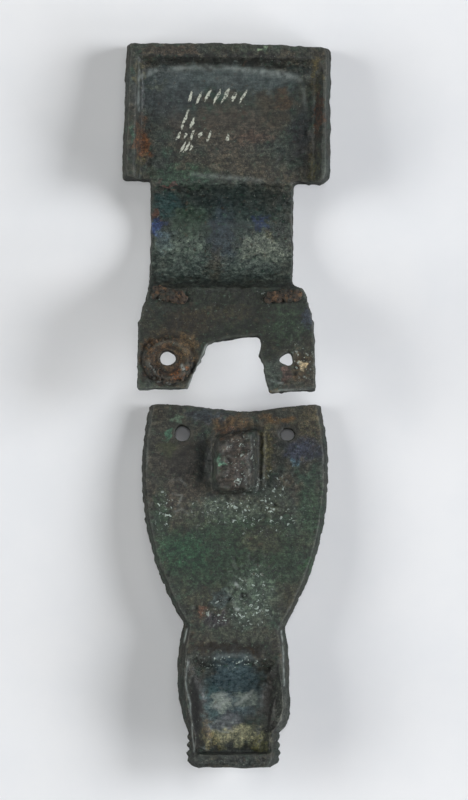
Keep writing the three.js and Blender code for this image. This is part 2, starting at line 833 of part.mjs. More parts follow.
// A bulging eye: a flattened ball, sunk in the head to its widest line.
function eye(side) {
  const ball = new THREE.SphereGeometry(beastEyeRadius, 12, 8);
  ball.rotateX(Math.PI / 2);
  ball.scale(1, 1, beastEyeHeight / beastEyeRadius);
  const centre = onBeast((side * beastEyeSpacing) / 2, beastEyeAt, 0);
  ball.translate(centre.x, centre.y, centre.z);
  return fromGeometry(ball);
}

// A brow that curves from the bridge of the nose out over the eye.
function brow(side) {
  const reach = beastEyeRadius + beastBrowThickness;
  const points = shares(6).map((t) => {
    const angle = lerp(-0.15, 0.95, t) * Math.PI;
    const x = beastEyeSpacing / 2 - reach * Math.cos(angle);
    return onBeast(side * x, beastEyeAt - reach * Math.sin(angle), beastBrowThickness * 0.3);
  });
  const curve = new THREE.CatmullRomCurve3(points);
  const section = new THREE.Shape();
  section.absarc(0, 0, beastBrowThickness, 0, 2 * Math.PI);
  const options = { steps: 8, extrudePath: curve, curveSegments: 3 };
  return fromGeometry(new THREE.ExtrudeGeometry(section, options));
}

// A three.js geometry as a solid.
function fromGeometry(geometry) {
  const bare = geometry.clone();
  bare.deleteAttribute("normal");
  bare.deleteAttribute("uv");
  const merged = mergeVertices(bare, 1e-4);
  const points = Array.from({ length: merged.attributes.position.count }, (_, i) => {
    return new THREE.Vector3().fromBufferAttribute(merged.attributes.position, i);
  });
  const faces = [];
  for (let i = 0; i < merged.index.count; i += 3) {
    const face = [0, 1, 2].map((k) => merged.index.getX(i + k));
    if (new Set(face).size === 3) faces.push(face);
  }
  return solidFrom(points, faces);
}

function footFragment() {
  const holeX = footHoleSpacing / 2;
  return footPlate()
    .add(catchStub())
    .add(beast().translate([beastShift, -footLength, 0]))
    .subtract(wornHole(-holeX, -footHoleDrop, footHoleRadius, 0.05, 3, 0))
    .subtract(wornHole(holeX, -footHoleDrop - footHoleStagger, footHoleRightRadius, 0.11, 2, 0));
}

// Iron remains

// A low, uneven lump; x and y are its centre on the back of the head fragment.
function ironLump(x, y, length, width, turn) {
  const sides = 12;
  const rings = [
    [1, 0],
    [0.94, 0.45],
    [0.62, 0.85],
    [0.28, 1],
  ];
  const base = lugBackZ + ironClearance;
  return skin(
    rings.map(([share, rise], k) => {
      return Array.from({ length: sides }, (_, i) => {
        const angle = (i / sides) * 2 * Math.PI;
        const ragged = 1 + 0.07 * Math.sin(3 * angle + k) + 0.05 * Math.sin(5 * angle);
        const point = new THREE.Vector2(
          (share * ragged * length * Math.cos(angle)) / 2,
          (share * ragged * width * Math.sin(angle)) / 2,
        ).rotateAround(new THREE.Vector2(), radians(turn));
        return new THREE.Vector3(x + point.x, y + point.y, base + rise * ironHeight);
      });
    }),
  );
}

// Meshes

const bronze = new THREE.MeshStandardMaterial({
  color: 0x46504a,
  roughness: 0.55,
  metalness: 0.35,
  flatShading: true,
});
const rustedIron = new THREE.MeshStandardMaterial({
  color: 0x5a3c28,
  roughness: 0.9,
  metalness: 0.1,
  flatShading: true,
});

function namedMesh(name, solid, material) {
  const { vertProperties, triVerts } = solid.getMesh();
  const geometry = new THREE.BufferGeometry();
  geometry.setAttribute("position", new THREE.BufferAttribute(vertProperties, 3));
  geometry.setIndex(new THREE.BufferAttribute(triVerts, 1));
  geometry.computeVertexNormals();
  const mesh = new THREE.Mesh(geometry, material);
  mesh.name = name;
  return mesh;
}

// How far a casting tips about X when it is laid face down: the slope of the line through the
// two lowest places between which its weight falls.
function restTilt(mesh) {
  const { position } = mesh.geometry.attributes;
  const corner = (i) => new THREE.Vector3().fromBufferAttribute(position, i);
  const weight = new THREE.Vector3();
  let volume = 0;
  const index = mesh.geometry.index.array;
  for (let i = 0; i < index.length; i += 3) {
    const [a, b, c] = [corner(index[i]), corner(index[i + 1]), corner(index[i + 2])];
    const part = a.dot(b.clone().cross(c)) / 6;
    volume += part;
    weight.addScaledVector(a.add(b).add(c), part / 4);
  }
  weight.divideScalar(volume);
  const points = Array.from({ length: position.count }, (_, i) => corner(i));
  points.sort((a, b) => a.y - b.y || a.z - b.z);
  const hull = [];
  const turn = (a, b, c) => (b.y - a.y) * (c.z - a.z) - (b.z - a.z) * (c.y - a.y);
  for (const point of points) {
    while (hull.length > 1 && turn(hull.at(-2), hull.at(-1), point) <= 0) {
      hull.pop();
    }
    hull.push(point);
  }
  const edges = hull.slice(1).map((to, i) => [hull[i], to]);
  const under = edges.find(([from, to]) => {
    const edge = to.clone().sub(from).setX(0);
    const share = weight.clone().sub(from).setX(0).dot(edge) / edge.lengthSq();
    return share >= 0 && share <= 1;
  });
  return Math.atan2(under[1].z - under[0].z, under[1].y - under[0].y);
}

// Lays a group of meshes on the ground, tipped as the casting among them comes to rest.
function layFaceDown(casting, others) {
  const laid = new THREE.Group();
  laid.add(casting, ...others);
  laid.rotation.x = -restTilt(casting);
  laid.updateMatrixWorld(true);
  laid.position.z = -new THREE.Box3().setFromObject(laid, true).min.z;
  return laid;
}

const headMesh = namedMesh("head_fragment", headFragment(), bronze);
const footMesh = namedMesh("foot_fragment", footFragment(), bronze);
const ironY = bowStart - ironDrop;
const ironLeft = ironLump(ironLeftInset - bowLeft, ironY, ironLength, ironWidth, -12);
const ironRight = ironLump(bowRight - ironRightInset, ironY, ironLength * 1.05, ironWidth * 0.9, 0);
const head = layFaceDown(headMesh, [
  namedMesh("iron_remnant_left", ironLeft, rustedIron),
  namedMesh("iron_remnant_right", ironRight, rustedIron),
]);
const foot = layFaceDown(footMesh, []);
head.position.y = fragmentGap;
foot.position.x = footCentre;

const brooch = new THREE.Group();
brooch.add(head, foot);
brooch.updateMatrixWorld(true);
const box = new THREE.Box3().setFromObject(brooch, true);
brooch.position.set(-(box.min.x + box.max.x) / 2, -(box.min.y + box.max.y) / 2, -box.min.z);

export default brooch;
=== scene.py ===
# %% [markdown]
# A bronze bow brooch, broken in two and lying on its face
#
# This lesson dresses a measured solid model of an old cast brooch. The brooch is seen from
# its hollow back: a rectangular head plate with a shallow tray, an arched bow, and a leaf-shaped
# foot that ends in an animal head. Every length below is in millimetres on the brooch itself,
# and the finished meshes are brought down to metres at the very end of their making.

import itertools
import math

import bpy
import numpy as np
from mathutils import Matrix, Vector


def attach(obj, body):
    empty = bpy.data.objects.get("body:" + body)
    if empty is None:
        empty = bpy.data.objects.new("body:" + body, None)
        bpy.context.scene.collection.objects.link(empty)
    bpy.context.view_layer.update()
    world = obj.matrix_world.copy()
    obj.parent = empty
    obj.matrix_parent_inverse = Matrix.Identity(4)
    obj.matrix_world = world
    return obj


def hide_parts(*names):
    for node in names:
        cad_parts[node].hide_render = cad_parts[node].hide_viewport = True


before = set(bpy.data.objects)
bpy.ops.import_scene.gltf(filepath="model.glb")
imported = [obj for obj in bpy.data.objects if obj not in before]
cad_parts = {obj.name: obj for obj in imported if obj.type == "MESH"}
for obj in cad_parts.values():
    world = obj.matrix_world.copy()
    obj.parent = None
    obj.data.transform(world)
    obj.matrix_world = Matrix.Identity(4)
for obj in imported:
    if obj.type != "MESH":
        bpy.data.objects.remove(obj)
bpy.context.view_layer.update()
MM = 0.001
print("nodes:", sorted(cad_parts))

# %% [markdown]
# Where things are
#
# The view looks straight down on the brooch, and its picture is 468 pixels wide and 800 tall.
# One pixel is 0.13 mm, so a stain or a scratch can be named by its place in the view. Each
# casting also has a frame of its own, with its back level and its broken edge at y = 0, because
# its forms follow simple rules there. The castings lie tipped by a few degrees, as they come to
# rest on their raised fronts.

# %% Places in the view and on each casting
PIXEL = 0.13
VIEW_CENTRE = (226.6, 405.5)


def seen(px, py):
    """Millimetres on the brooch for a place in the view."""
    return (px - VIEW_CENTRE[0]) * PIXEL, (VIEW_CENTRE[1] - py) * PIXEL


class Rest:
    """How a casting lies: its tip about X, and where the origin of its own frame comes to."""

    def __init__(self, tip_degrees, origin):
        self.cos = math.cos(math.radians(tip_degrees))
        self.sin = math.sin(math.radians(tip_degrees))
        self.origin = np.array(origin)

    def own(self, points):
        x, y, z = (points - self.origin).T
        return np.stack([x, y * self.cos - z * self.sin, y * self.sin + z * self.cos], 1)

    def laid(self, points):
        x, y, z = points.T
        turned = [x, y * self.cos + z * self.sin, z * self.cos - y * self.sin]
        return np.stack(turned, 1) + self.origin


head_rest = Rest(8.8718, (0.0355, 2.1654, 11.0151))
foot_rest = Rest(5.9495, (1.0855, 0.1654, 2.1997))
print("a rivet hole at", seen(167.5, 359))

# %% [markdown]
# Noise for carving
#
# Corrosion has lumps and pits of every size. Blender has noise for its materials, but moving
# mesh points needs numbers in Python. Two small functions are enough: one gives smooth hills on
# a lattice, the other the distance to scattered points, which makes pits and warts. Both are
# worked out from fixed whole numbers, so each run gives the same brooch.

# %% Lattice noise and scattered points


def scramble(cells, seed):
    """A share from 0 to 1 for each whole-numbered cell."""
    x, y, z = cells.astype(np.int64).T
    mixed = (x * 73856093) ^ (y * 19349663) ^ (z * 83492791) ^ (seed * 668265263)
    mixed = ((mixed ^ (mixed >> 13)) * 1274126177) & 0x7FFFFFFF
    mixed = ((mixed ^ (mixed >> 15)) * 1103515245) & 0x7FFFFFFF
    return ((mixed >> 7) & 0xFFFF) / 65535.0


def hills(points, pitch, seed):
    """Smooth noise from -1 to 1 with hills about one pitch apart."""
    scaled = points / pitch
    cells = np.floor(scaled)
    share = scaled - cells
    share = share * share * (3 - 2 * share)
    total = np.zeros(len(points))
    for corner in itertools.product((0, 1), repeat=3):
        weight = np.ones(len(points))
        for axis, side in enumerate(corner):
            weight *= share[:, axis] if side else 1 - share[:, axis]
        total += weight * scramble(cells + np.array(corner), seed)
    return total * 2 - 1


def rough(points, pitch, seed, octaves=3):
    """Hills with smaller hills on them."""
    total, size = np.zeros(len(points)), 1.0
    for octave in range(octaves):
        total += size * hills(points, pitch / 2**octave, seed + octave)
        size *= 0.55
    return total


def scatter(points, pitch, seed):
    """The distance to the nearest scattered point, and that point's own random share."""
    cells = np.floor(points / pitch)
    best = np.full(len(points), 1e9)
    share = np.zeros(len(points))
    for step in itertools.product((-1, 0, 1), repeat=3):
        here = cells + np.array(step)
        spot = np.stack([scramble(here, seed + k) for k in range(3)], 1)
        distance = np.linalg.norm((here + spot) * pitch - points, axis=1)
        nearer = distance < best
        best = np.where(nearer, distance, best)
        share = np.where(nearer, scramble(here, seed + 7), share)
    return best, share


def ease(value, start, end):
    """0 before start, 1 after end, smooth between."""
    t = np.clip((value - start) / (end - start), 0, 1)
    return t * t * (3 - 2 * t)


print("noise at the origin:", hills(np.zeros((1, 3)), 1.0, 3))

# %% [markdown]
# A fine skin over the measured solid
#
# The measured solids have a few thousand flat faces. A casting that was buried for centuries has
# no flat face and no sharp edge. Subdividing would keep the long thin triangles that the cut
# holes leave, so the copy is remeshed in small cubes instead: that gives even quads everywhere,
# fine enough to carry pits and scratches. The measured node itself is never touched.

# %% Remesh a copy of a node
HEAD_CUBE, FOOT_CUBE = 0.19, 0.178


def fine_copy(node, cube):
    """A new object with an even fine mesh over the node's form, in millimetres."""
    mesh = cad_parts[node].data.copy()
    points = np.empty(len(mesh.vertices) * 3)
    mesh.vertices.foreach_get("co", points)
    mesh.vertices.foreach_set("co", points / MM)
    mesh.materials.clear()
    made = bpy.data.objects.new(node + "_fine", mesh)
    bpy.context.scene.collection.objects.link(made)
    weld = made.modifiers.new("weld", "WELD")
    weld.merge_threshold = 0.001
    remesh = made.modifiers.new("skin", "REMESH")
    remesh.mode = "VOXEL"
    remesh.voxel_size = cube
    remesh.adaptivity = 0
    seen_by = bpy.context.evaluated_depsgraph_get()
    skin = bpy.data.meshes.new_from_object(made.evaluated_get(seen_by))
    made.modifiers.clear()
    made.data = skin
    print(node, "skin:", len(skin.polygons), "quads")
    return made


def points_of(mesh):
    points = np.empty(len(mesh.vertices) * 3)
    mesh.vertices.foreach_get("co", points)
    return points.reshape(-1, 3)


def set_points(mesh, points):
    mesh.vertices.foreach_set("co", points.ravel())
    mesh.update()


def normals_of(mesh):
    normals = np.empty(len(mesh.vertices) * 3)
    mesh.vertices.foreach_get("normal", normals)
    return normals.reshape(-1, 3)


head = fine_copy("head_fragment", HEAD_CUBE)
foot = fine_copy("foot_fragment", FOOT_CUBE)

# %% [markdown]
# Wear
#
# Relaxing moves each point towards the middle of its neighbours. A few rounds over the whole
# mesh round off the edges as handling does. Many rounds inside a mask take the facets out of the
# bow and the animal head, where the real casting is one even curve.

# %% Relax the mesh


def edges_of(mesh):
    edges = np.empty(len(mesh.edges) * 2, int)
    mesh.edges.foreach_get("vertices", edges)
    return edges.reshape(-1, 2)


def neighbour_mean(values, edges):
    """The mean of each point's neighbours."""
    count = np.bincount(edges.ravel(), minlength=len(values))
    total = np.zeros_like(values)
    for axis in range(values.shape[1]):
        for a, b in ((0, 1), (1, 0)):
            total[:, axis] += np.bincount(
                edges[:, a], weights=values[edges[:, b], axis], minlength=len(values)
            )
    return total / np.maximum(count, 1)[:, None]


def relax(points, edges, rounds, mask=None):
    weight = 0.5 if mask is None else 0.5 * mask[:, None]
    for _ in range(rounds):
        points = points + weight * (neighbour_mean(points, edges) - points)
    return points


def inside(value, low, high, soft):
    """1 between two limits, fading to 0 over a soft margin inside them."""
    return ease(value, low, low + soft) * (1 - ease(value, high - soft, high))


print("head skin:", len(edges_of(head.data)), "edges; foot skin:", len(edges_of(foot.data)))

# %% [markdown]
# The head fragment
#
# Three forms need more than relaxing. The hollow of the bow follows one curve, steep at both
# ends and flat in the middle, so its points are set on that curve. The floor of the tray dips a
# little in the middle. The foot of its walls is rounded, most of all along the upper slope.

# %% Shape the head fragment
BOW_START, BOW_SPAN, BOW_DEPTH, BOW_POWER = 13.3, 14.0, 4.65, 2.6
TRAY_DEPTH, BACK_DROP = 1.6, 0.5
TRAY_DISH, TRAY_FROM = 0.14, 27


def bow_hollow(y):
    """How high the hollow side of the bow lies in the casting's own frame."""
    s = np.clip((y - BOW_START - BOW_SPAN / 2) / (BOW_SPAN / 2), -1, 1)
    ends = -BACK_DROP + (BACK_DROP - TRAY_DEPTH) * (s + 1) / 2
    return ends - BOW_DEPTH * (1 - np.abs(s) ** BOW_POWER)


def shape_head(piece):
    mesh, edges = piece.data, edges_of(piece.data)
    own = head_rest.own(points_of(mesh))
    own = relax(own, edges, 2)
    x, y, z = own.T
    near_hollow = 1 - ease(np.abs(z - bow_hollow(y)), 0.2, 0.5)
    on_bow = inside(y, BOW_START - 0.1, BOW_START + BOW_SPAN + 0.3, 0.5) * near_hollow
    own[:, 2] += on_bow * (bow_hollow(y) - z)
    front = inside(y, BOW_START - 0.8, BOW_START + BOW_SPAN + 0.8, 1.0) * (1 - near_hollow)
    own = relax(own, edges, 24, front * ease(-own[:, 2], 2.0, 3.0))
    own = relax(own, edges, 10, on_bow)
    x, y, z = own.T
    on_floor = (1 - ease(np.abs(z + TRAY_DEPTH), 0.15, 0.4)) * (y > TRAY_FROM)
    dish = np.clip(1 - (x / 12) ** 2, 0, 1) * np.clip(1 - ((y - 36) / 9.5) ** 2, 0, 1)
    own[:, 2] -= TRAY_DISH * on_floor * dish
    in_tray = inside(x, -12.9, 12.9, 0.5) * inside(y, 28.0, 45.6, 0.5)
    near_floor = 1 - ease(np.abs(own[:, 2] + TRAY_DEPTH), 0.7, 1.1)
    own = relax(own, edges, 14, in_tray * near_floor)
    upper = in_tray * near_floor * ease(y, 41.5, 42.5) * inside(x, -11.6, 11.6, 1.5)
    own = relax(own, edges, 16, upper)
    set_points(mesh, head_rest.laid(own))
    print("head fragment shaped,", len(own), "points")


shape_head(head)

# %% [markdown]
# The foot fragment
#
# Two rules give its outline. The leaf widens from the broken edge to its widest place and then
# runs in to the neck. The animal head swells below the neck and narrows to the snout. Both take
# a distance down the fragment and give half a width.

# %% Outline of the foot fragment
FOOT_LENGTH, NECK_HALF, BEAST_SHIFT = 29.1, 6.45, -0.2
SNOUT_HALF, SNOUT_AT = 5.9, 13.7
LEAF_BREAK, LEAF_WIDEST, LEAF_WIDEST_AT, LEAF_FLARE, LEAF_THICK = 11.25, 12.25, 8.2, 0.6, 2.25


def leaf_half_width(drop):
    """Half the width of the foot plate's front border at a distance below the break."""
    above = np.clip(1 - drop / LEAF_WIDEST_AT, 0, 1)
    below = np.clip((drop - LEAF_WIDEST_AT) / (FOOT_LENGTH - LEAF_WIDEST_AT), 0, 1)
    loss = (LEAF_WIDEST - LEAF_BREAK) * above**1.7 + (LEAF_WIDEST - NECK_HALF) * below**2.17
    return LEAF_WIDEST - loss


def beast_half_width(drop):
    """Half the width of the animal head at a distance below the neck."""
    share = np.clip(drop / SNOUT_AT, 0, 1)
    swell = 1.2 * np.maximum(0, np.sin(np.pi * share)) ** 0.65
    return NECK_HALF + (SNOUT_HALF - NECK_HALF) * share + swell


print("widest place of the leaf:", round(2 * float(leaf_half_width(LEAF_WIDEST_AT)), 2), "mm")

# %% [markdown]
# The hollow of the animal head
#
# The head is hollow behind. Its hollow is a scoop with a waist: the floor drops quickly below
# the neck, rises to a lip near the nose, and falls into a narrow slot behind that lip. The rule
# gives its depth, and the points inside the rim will be set on it.

# %% Rule of the hollow
HOLLOW_START, HOLLOW_END, HOLLOW_RIM, HOLLOW_DEPTH = 3.9, 16.6, 1.0, 3.0
FLOOR_HALF, WAIST, WAIST_AT, LIP_RISE, SLOT_DROP = 4.2, 1.2, 0.67, 1.0, 0.4


def beast_hollow(across, drop):
    """The depth of the hollow, and how far inside its rim a point lies."""
    t = (drop - HOLLOW_START) / (HOLLOW_END - HOLLOW_START)
    rim = beast_half_width(drop) - HOLLOW_RIM
    waist = WAIST * np.exp(-(((t - WAIST_AT) / 0.19) ** 2))
    floor_edge = np.minimum(FLOOR_HALF - waist, rim - 0.6)
    fall = ease(t, 0, 0.42) ** 0.6
    lip = LIP_RISE * ease(t, 0.35, 0.86)
    arch = 0.06 * (across / 4.3) ** 2
    slot = SLOT_DROP * ease(t, 0.86 + arch, 0.97 + arch)
    depth = fall * (1 - ease(t, 0.96, 1.01)) * (HOLLOW_DEPTH - lip + slot)
    share = np.clip((rim - np.abs(across)) / (rim - 0.75 * floor_edge), 0, 1)
    return depth * (1 - (1 - share) ** 1.9), rim - np.abs(across)


middle_line = beast_hollow(np.zeros(5), np.linspace(5, 16, 5))[0]
print("depth of the hollow down its middle:", middle_line.round(2))

# %% [markdown]
# Border, hollow and snout
#
# Each step takes the points in the foot's own frame and gives them back moved. The border of the
# leaf is filled out between the cuts, the hollow is set on its rule, and the snout gets its
# ribs, its rounded corners and the cheek that broke off.

# %% Shape the leaf and the animal head
RIB_PITCH, RIB_SWELL, RIBS_END, NOSE_CORNER = 1.05, 0.3, 17.4, 1.2
BORDER_FILL, CHEEK_LOSS = 0.92, 0.6


def fill_border(own, edges):
    """Brings the sides of the leaf out to its front border, and softens the cuts there."""
    x, y, z = own.T
    border = leaf_half_width(-y) - LEAF_FLARE * (1 - np.clip(-z / LEAF_THICK, 0, 1) ** 0.7)
    short = border - np.abs(x)
    on_edge = inside(-y, 0.6, FOOT_LENGTH - 0.4, 0.5) * inside(z, -2.3, -0.15, 0.15)
    on_edge *= (short > -0.05) & (short < 0.55)
    own[:, 0] += np.sign(x) * on_edge * short * BORDER_FILL
    return relax(own, edges, 4, on_edge)


def scoop_beast(own, edges, upward):
    """Sets the hollow on its rule, then smooths it and the front of the head."""
    x, y, z = own.T
    drop = -y - FOOT_LENGTH
    depth, within = beast_hollow(x - BEAST_SHIFT, drop)
    reach = 0.7 + 0.8 * ease(drop, 13.5, 14.5)
    near = ease(upward, -0.3, 0.1) * (1 - ease(np.abs(z + depth), reach, reach + 0.4))
    on_hollow = near * ease(within, 0.0, 0.25) * inside(drop, HOLLOW_START, HOLLOW_END, 0.2)
    own[:, 2] += on_hollow * (-depth - z)
    own = relax(own, edges, 4, on_hollow)
    front = ease(drop, 0.5, 2.0) * ease(-own[:, 2], 2.0, 3.0) * (1 - near)
    return relax(own, edges, 14, front)


def trim_beast(own, across, drop):
    """The ribs of the snout, its rounded corners and the broken cheek."""
    on_side = ease(np.abs(across), 5.2, 5.7) * ease(drop, SNOUT_AT - 0.2, SNOUT_AT + 0.4)
    on_side *= 1 - ease(drop, RIBS_END - 0.8, RIBS_END)
    ribs = np.abs(np.sin((drop - SNOUT_AT) / RIB_PITCH * np.pi)) - 0.45
    own[:, 0] += np.sign(across) * on_side * RIB_SWELL * ribs
    corner = np.clip((drop - 17.1) / NOSE_CORNER, 0, 1)
    drawn_in = NOSE_CORNER * (1 - np.sqrt(1 - corner**2 * 0.96))
    own[:, 0] -= np.sign(across) * ease(np.abs(across), 4.2, 5.9) * drawn_in
    cheek = ease(across, 3.8, 6.2) * ease(drop, 7.5, 11.5) * (1 - ease(drop, 12.9, 13.8))
    own[:, 0] += CHEEK_LOSS * cheek
    return own


print("ribs on each side of the snout:", round((RIBS_END - SNOUT_AT) / RIB_PITCH))

# %% [markdown]
# The stub
#
# The stub of the catch is a torn lump. Many rounds of relaxing melt its facets, and noise of two
# sizes makes it lumpy again.

# %% Shape the foot fragment
STUB_BOX = ((-3.5, 3.5), (-12.6, -2.9))
STUB_LUMPS, STUB_GRIT, STUB_WANDER = 0.42, 0.2, 0.3


def lump_stub(own, edges, place):
    """Softens the stub of the catch and makes it lumpy; place is where its points stood."""
    (left, right), (low, high) = STUB_BOX
    x, y, z = place
    on_stub = inside(x, left, right, 0.4) * inside(y, low, high, 0.4) * ease(z, 0.1, 0.5)
    own = relax(own, edges, 40, on_stub)
    lumps = STUB_LUMPS * rough(own, 1.9, 71, 2) + STUB_GRIT * hills(own, 0.7, 75)
    own[:, 2] += on_stub * (lumps + 0.12)
    own[:, 0] += on_stub * STUB_WANDER * rough(own, 1.5, 77, 2)
    return own


def shape_foot(piece):
    mesh, edges = piece.data, edges_of(piece.data)
    own = relax(foot_rest.own(points_of(mesh)), edges, 2)
    own = fill_border(own, edges)
    x, y, z = place = own.T.copy()
    own = scoop_beast(own, edges, normals_of(mesh)[:, 2])
    own = trim_beast(own, x - BEAST_SHIFT, -y - FOOT_LENGTH)
    own = lump_stub(own, edges, place)
    set_points(mesh, foot_rest.laid(own))
    print("foot fragment shaped,", len(own), "points")


shape_foot(foot)

# %% [markdown]
# Corrosion
#
# Bronze in the ground swells in places and is eaten in others. Five layers move every point
# along its normal: slow waves of a hand-made casting, a wander where the skin turns down at an
# edge, warts of mineral crust, pits, and a fine grain. The last three differ in strength from
# place to place, so some fields stay smooth and shiny.

# %% Corrode a casting
WAVE_HEIGHT, EDGE_WANDER, CRUST_HEIGHT = 0.045, 0.1, 0.055
PIT_DEPTH, WART_HEIGHT = 0.15, 0.085


def corrode(piece, seed, smooth_places, pitted_places):
    mesh = piece.data
    points, normals = points_of(mesh), normals_of(mesh)
    calm = place_mask(points, smooth_places)
    eaten = place_mask(points, pitted_places)
    on_edge = 1 - ease(np.abs(normals[:, 2]), 0.3, 0.7)
    waves = WAVE_HEIGHT * rough(points, 3.2, seed, 2)
    waves = waves + EDGE_WANDER * on_edge * rough(points, 1.2, seed + 5, 2)
    crust = CRUST_HEIGHT * rough(points, 0.8, seed + 11, 3)
    patchy = ease(rough(points, 4.5, seed + 23, 2), -0.1, 0.7)
    distance, share = scatter(points, 1.1, seed + 31)
    radius = 0.14 + 0.26 * share
    pits = -PIT_DEPTH * np.exp(-((distance / radius) ** 2)) * (share > 0.45)
    distance, share = scatter(points, 0.62, seed + 47)
    warts = WART_HEIGHT * np.exp(-((distance / (0.1 + 0.12 * share)) ** 2)) * (share > 0.55)
    lively = (0.4 + 0.9 * patchy) * (1 - 0.8 * calm) * (1 + 1.2 * eaten)
    move = waves + lively * (crust + pits + warts)
    set_points(mesh, points + normals * move[:, None])
    print(piece.name, "moved by up to", round(float(np.abs(move).max()), 3), "mm")


def place_mask(points, places):
    """1 inside any of a few soft ovals: centre and half size in the view."""
    mask = np.zeros(len(points))
    for px, py, rx, ry in places.values():
        x, y = seen(px, py)
        far = np.hypot((points[:, 0] - x) / (rx * PIXEL), (points[:, 1] - y) / (ry * PIXEL))
        mask = np.maximum(mask, 1 - ease(far, 0.7, 1.3))
    return mask


# %% [markdown]
# Scratches, burrs and dents
#
# Some marks have a place of their own: the thin ridge beside the broken catch, the groove below
# a rivet hole, the sharp inner edge of the hollow. Each is a short path in the view with a width
# and a height. Raised marks stand up from the back, and cuts have a negative height.

# %% Marks along paths


def path_distance(points, path):
    """The distance in plan from each point to a path given in the view."""
    corners = np.array([seen(px, py) for px, py in path])
    plan = points[:, :2]
    best = np.full(len(points), 1e9)
    for start, end in zip(corners[:-1], corners[1:]):
        along = end - start
        share = np.clip(((plan - start) @ along) / (along @ along), 0, 1)
        near = start + share[:, None] * along
        best = np.minimum(best, np.linalg.norm(plan - near, axis=1))
    return best


def ring_path(px, py, radius, turns=24):
    """A closed path round a place in the view."""
    angles = np.linspace(0, 2 * np.pi, turns + 1)
    return [(px + radius * math.cos(a), py + radius * math.sin(a)) for a in angles]


def carve(piece, marks):
    """Raises or cuts the back along each mark: name, path, half width in pixels, height."""
    mesh = piece.data
    points, normals = points_of(mesh), normals_of(mesh)
    facing_up = ease(normals[:, 2], 0.15, 0.5)
    shaky = points + 0.12 * np.stack([hills(points, 0.8, 61 + k) for k in range(3)], 1)
    lively = 0.75 + 0.35 * hills(points, 0.9, 67)
    for name, path, width, height in marks:
        far = path_distance(shaky, path) / (width * PIXEL)
        points[:, 2] += facing_up * lively * height * np.exp(-(far**2))
    set_points(mesh, points)
    print(piece.name, "has", len(marks), "marks")


# %% Marks on the head fragment
LEFT_HOLE = (168, 360)
carve(
    head,
    [
        ("fine ridge on the tray's left wall", [(138.5, 60), (138, 100), (138.5, 170)], 1.1, 0.08),
        ("scratch on the tray's right", [(305, 102), (309, 116)], 1.0, -0.07),
        ("swelling between tray and bow", [(192, 179), (230, 176), (263, 179)], 3.0, 0.1),
        ("groove below the left hole", [(156, 377), (164, 381), (178, 380)], 2.0, -0.22),
        ("scratch beside the groove", [(149, 364), (161, 376)], 1.0, -0.1),
        ("burr along the broken edge", [(207, 345), (198, 366), (187, 389)], 1.5, 0.1),
        ("crescent dent on the right lug", [(268, 376), (274, 382), (286, 382)], 2.2, -0.34),
        ("pit beside the right hole", [(297, 357), (303, 364)], 3.0, -0.15),
        ("ring of rust round the left hole", ring_path(*LEFT_HOLE, 19), 3.4, 0.42),
        ("groove inside the ring", ring_path(*LEFT_HOLE, 12.5), 1.4, -0.2),
        ("groove round the ring", ring_path(*LEFT_HOLE, 26), 1.8, -0.24),
        ("edge of the rusty patch", [(150, 352), (152, 372), (163, 384), (176, 385)], 1.2, -0.22),
    ],
)

# %% Marks on the foot fragment
left_edge = [(188, 655), (185, 682), (190.5, 708), (195, 750)]
right_edge = [(279, 658), (279, 682), (272, 712), (267, 748)]
carve(
    foot,
    [
        ("thin upright ridge", [(263.5, 430), (264, 456), (263, 482)], 1.3, 0.24),
        ("dent above the stub", [(238, 431), (256, 429)], 4.5, -0.5),
        ("dent left of the stub", [(206, 440), (204, 478)], 5.0, -0.2),
        ("old scratch", [(171, 481), (180, 479), (186, 486)], 1.2, -0.1),
        ("second scratch", [(172, 494), (182, 496), (178, 505)], 1.2, 0.08),
        ("third scratch", [(168, 512), (176, 509), (186, 515)], 1.2, -0.08),
        ("groove across the neck", [(200, 650), (230, 648), (272, 651)], 4.0, -0.16),
        ("sharp left edge of the hollow", left_edge, 1.3, 0.2),
        ("sharp right edge of the hollow", right_edge, 1.3, 0.14),
        ("step on the left cheek", [(185, 629), (183, 644), (180, 660)], 1.2, 0.18),
        ("step on the right cheek", [(283, 631), (284, 657), (285, 686)], 1.2, 0.18),
        ("seam in the hollow", [(214, 697), (226, 694), (233, 703)], 1.0, 0.05),
        ("second seam in the hollow", [(236, 707), (244, 699), (253, 691)], 1.0, 0.05),
    ],
)

# %% [markdown]
# Corroding both castings
#
# The marks come first and the corrosion after them, so that a groove or a burr is as corroded as
# the skin beside it. Smooth and pitted fields are ovals in the view.

# %% Corrode both castings
head_smooth = {
    "floor of the tray": (230, 105, 80, 45),
    "hollow of the bow": (222, 235, 66, 40),
    "right rivet hole": (286, 357, 11, 11),
}
head_pitted = {
    "below the left hole": (150, 372, 22, 16),
    "edge of the right lug": (302, 370, 12, 14),
    "under the right iron lump": (290, 296, 24, 10),
    "broken edge of the left lug": (196, 372, 12, 24),
}
foot_smooth = {
    "hollow of the animal head": (232, 695, 40, 48),
    "left of the stub": (180, 470, 26, 40),
    "end rim": (232, 764, 46, 8),
}
foot_pitted = {
    "low on the leaf": (250, 590, 40, 40),
    "stub of the catch": (232, 465, 22, 34),
    "below the stub": (236, 510, 44, 14),
}
corrode(head, 5, head_smooth, head_pitted)
corrode(foot, 101, foot_smooth, foot_pitted)

# %% [markdown]
# Where it is worn and where dirt stays
#
# The last thing read off the shape is how it bends. Where a point stands out from the mean of
# its neighbours the skin is rubbed pale, and where it lies below them dirt stays. Two float
# attributes carry this to the materials.

# %% Store wear and dirt on the mesh


def store(mesh, name, values):
    layer = mesh.attributes.new(name, "FLOAT", "POINT")
    layer.data.foreach_set("value", np.clip(values, 0, 1).astype(np.float32))


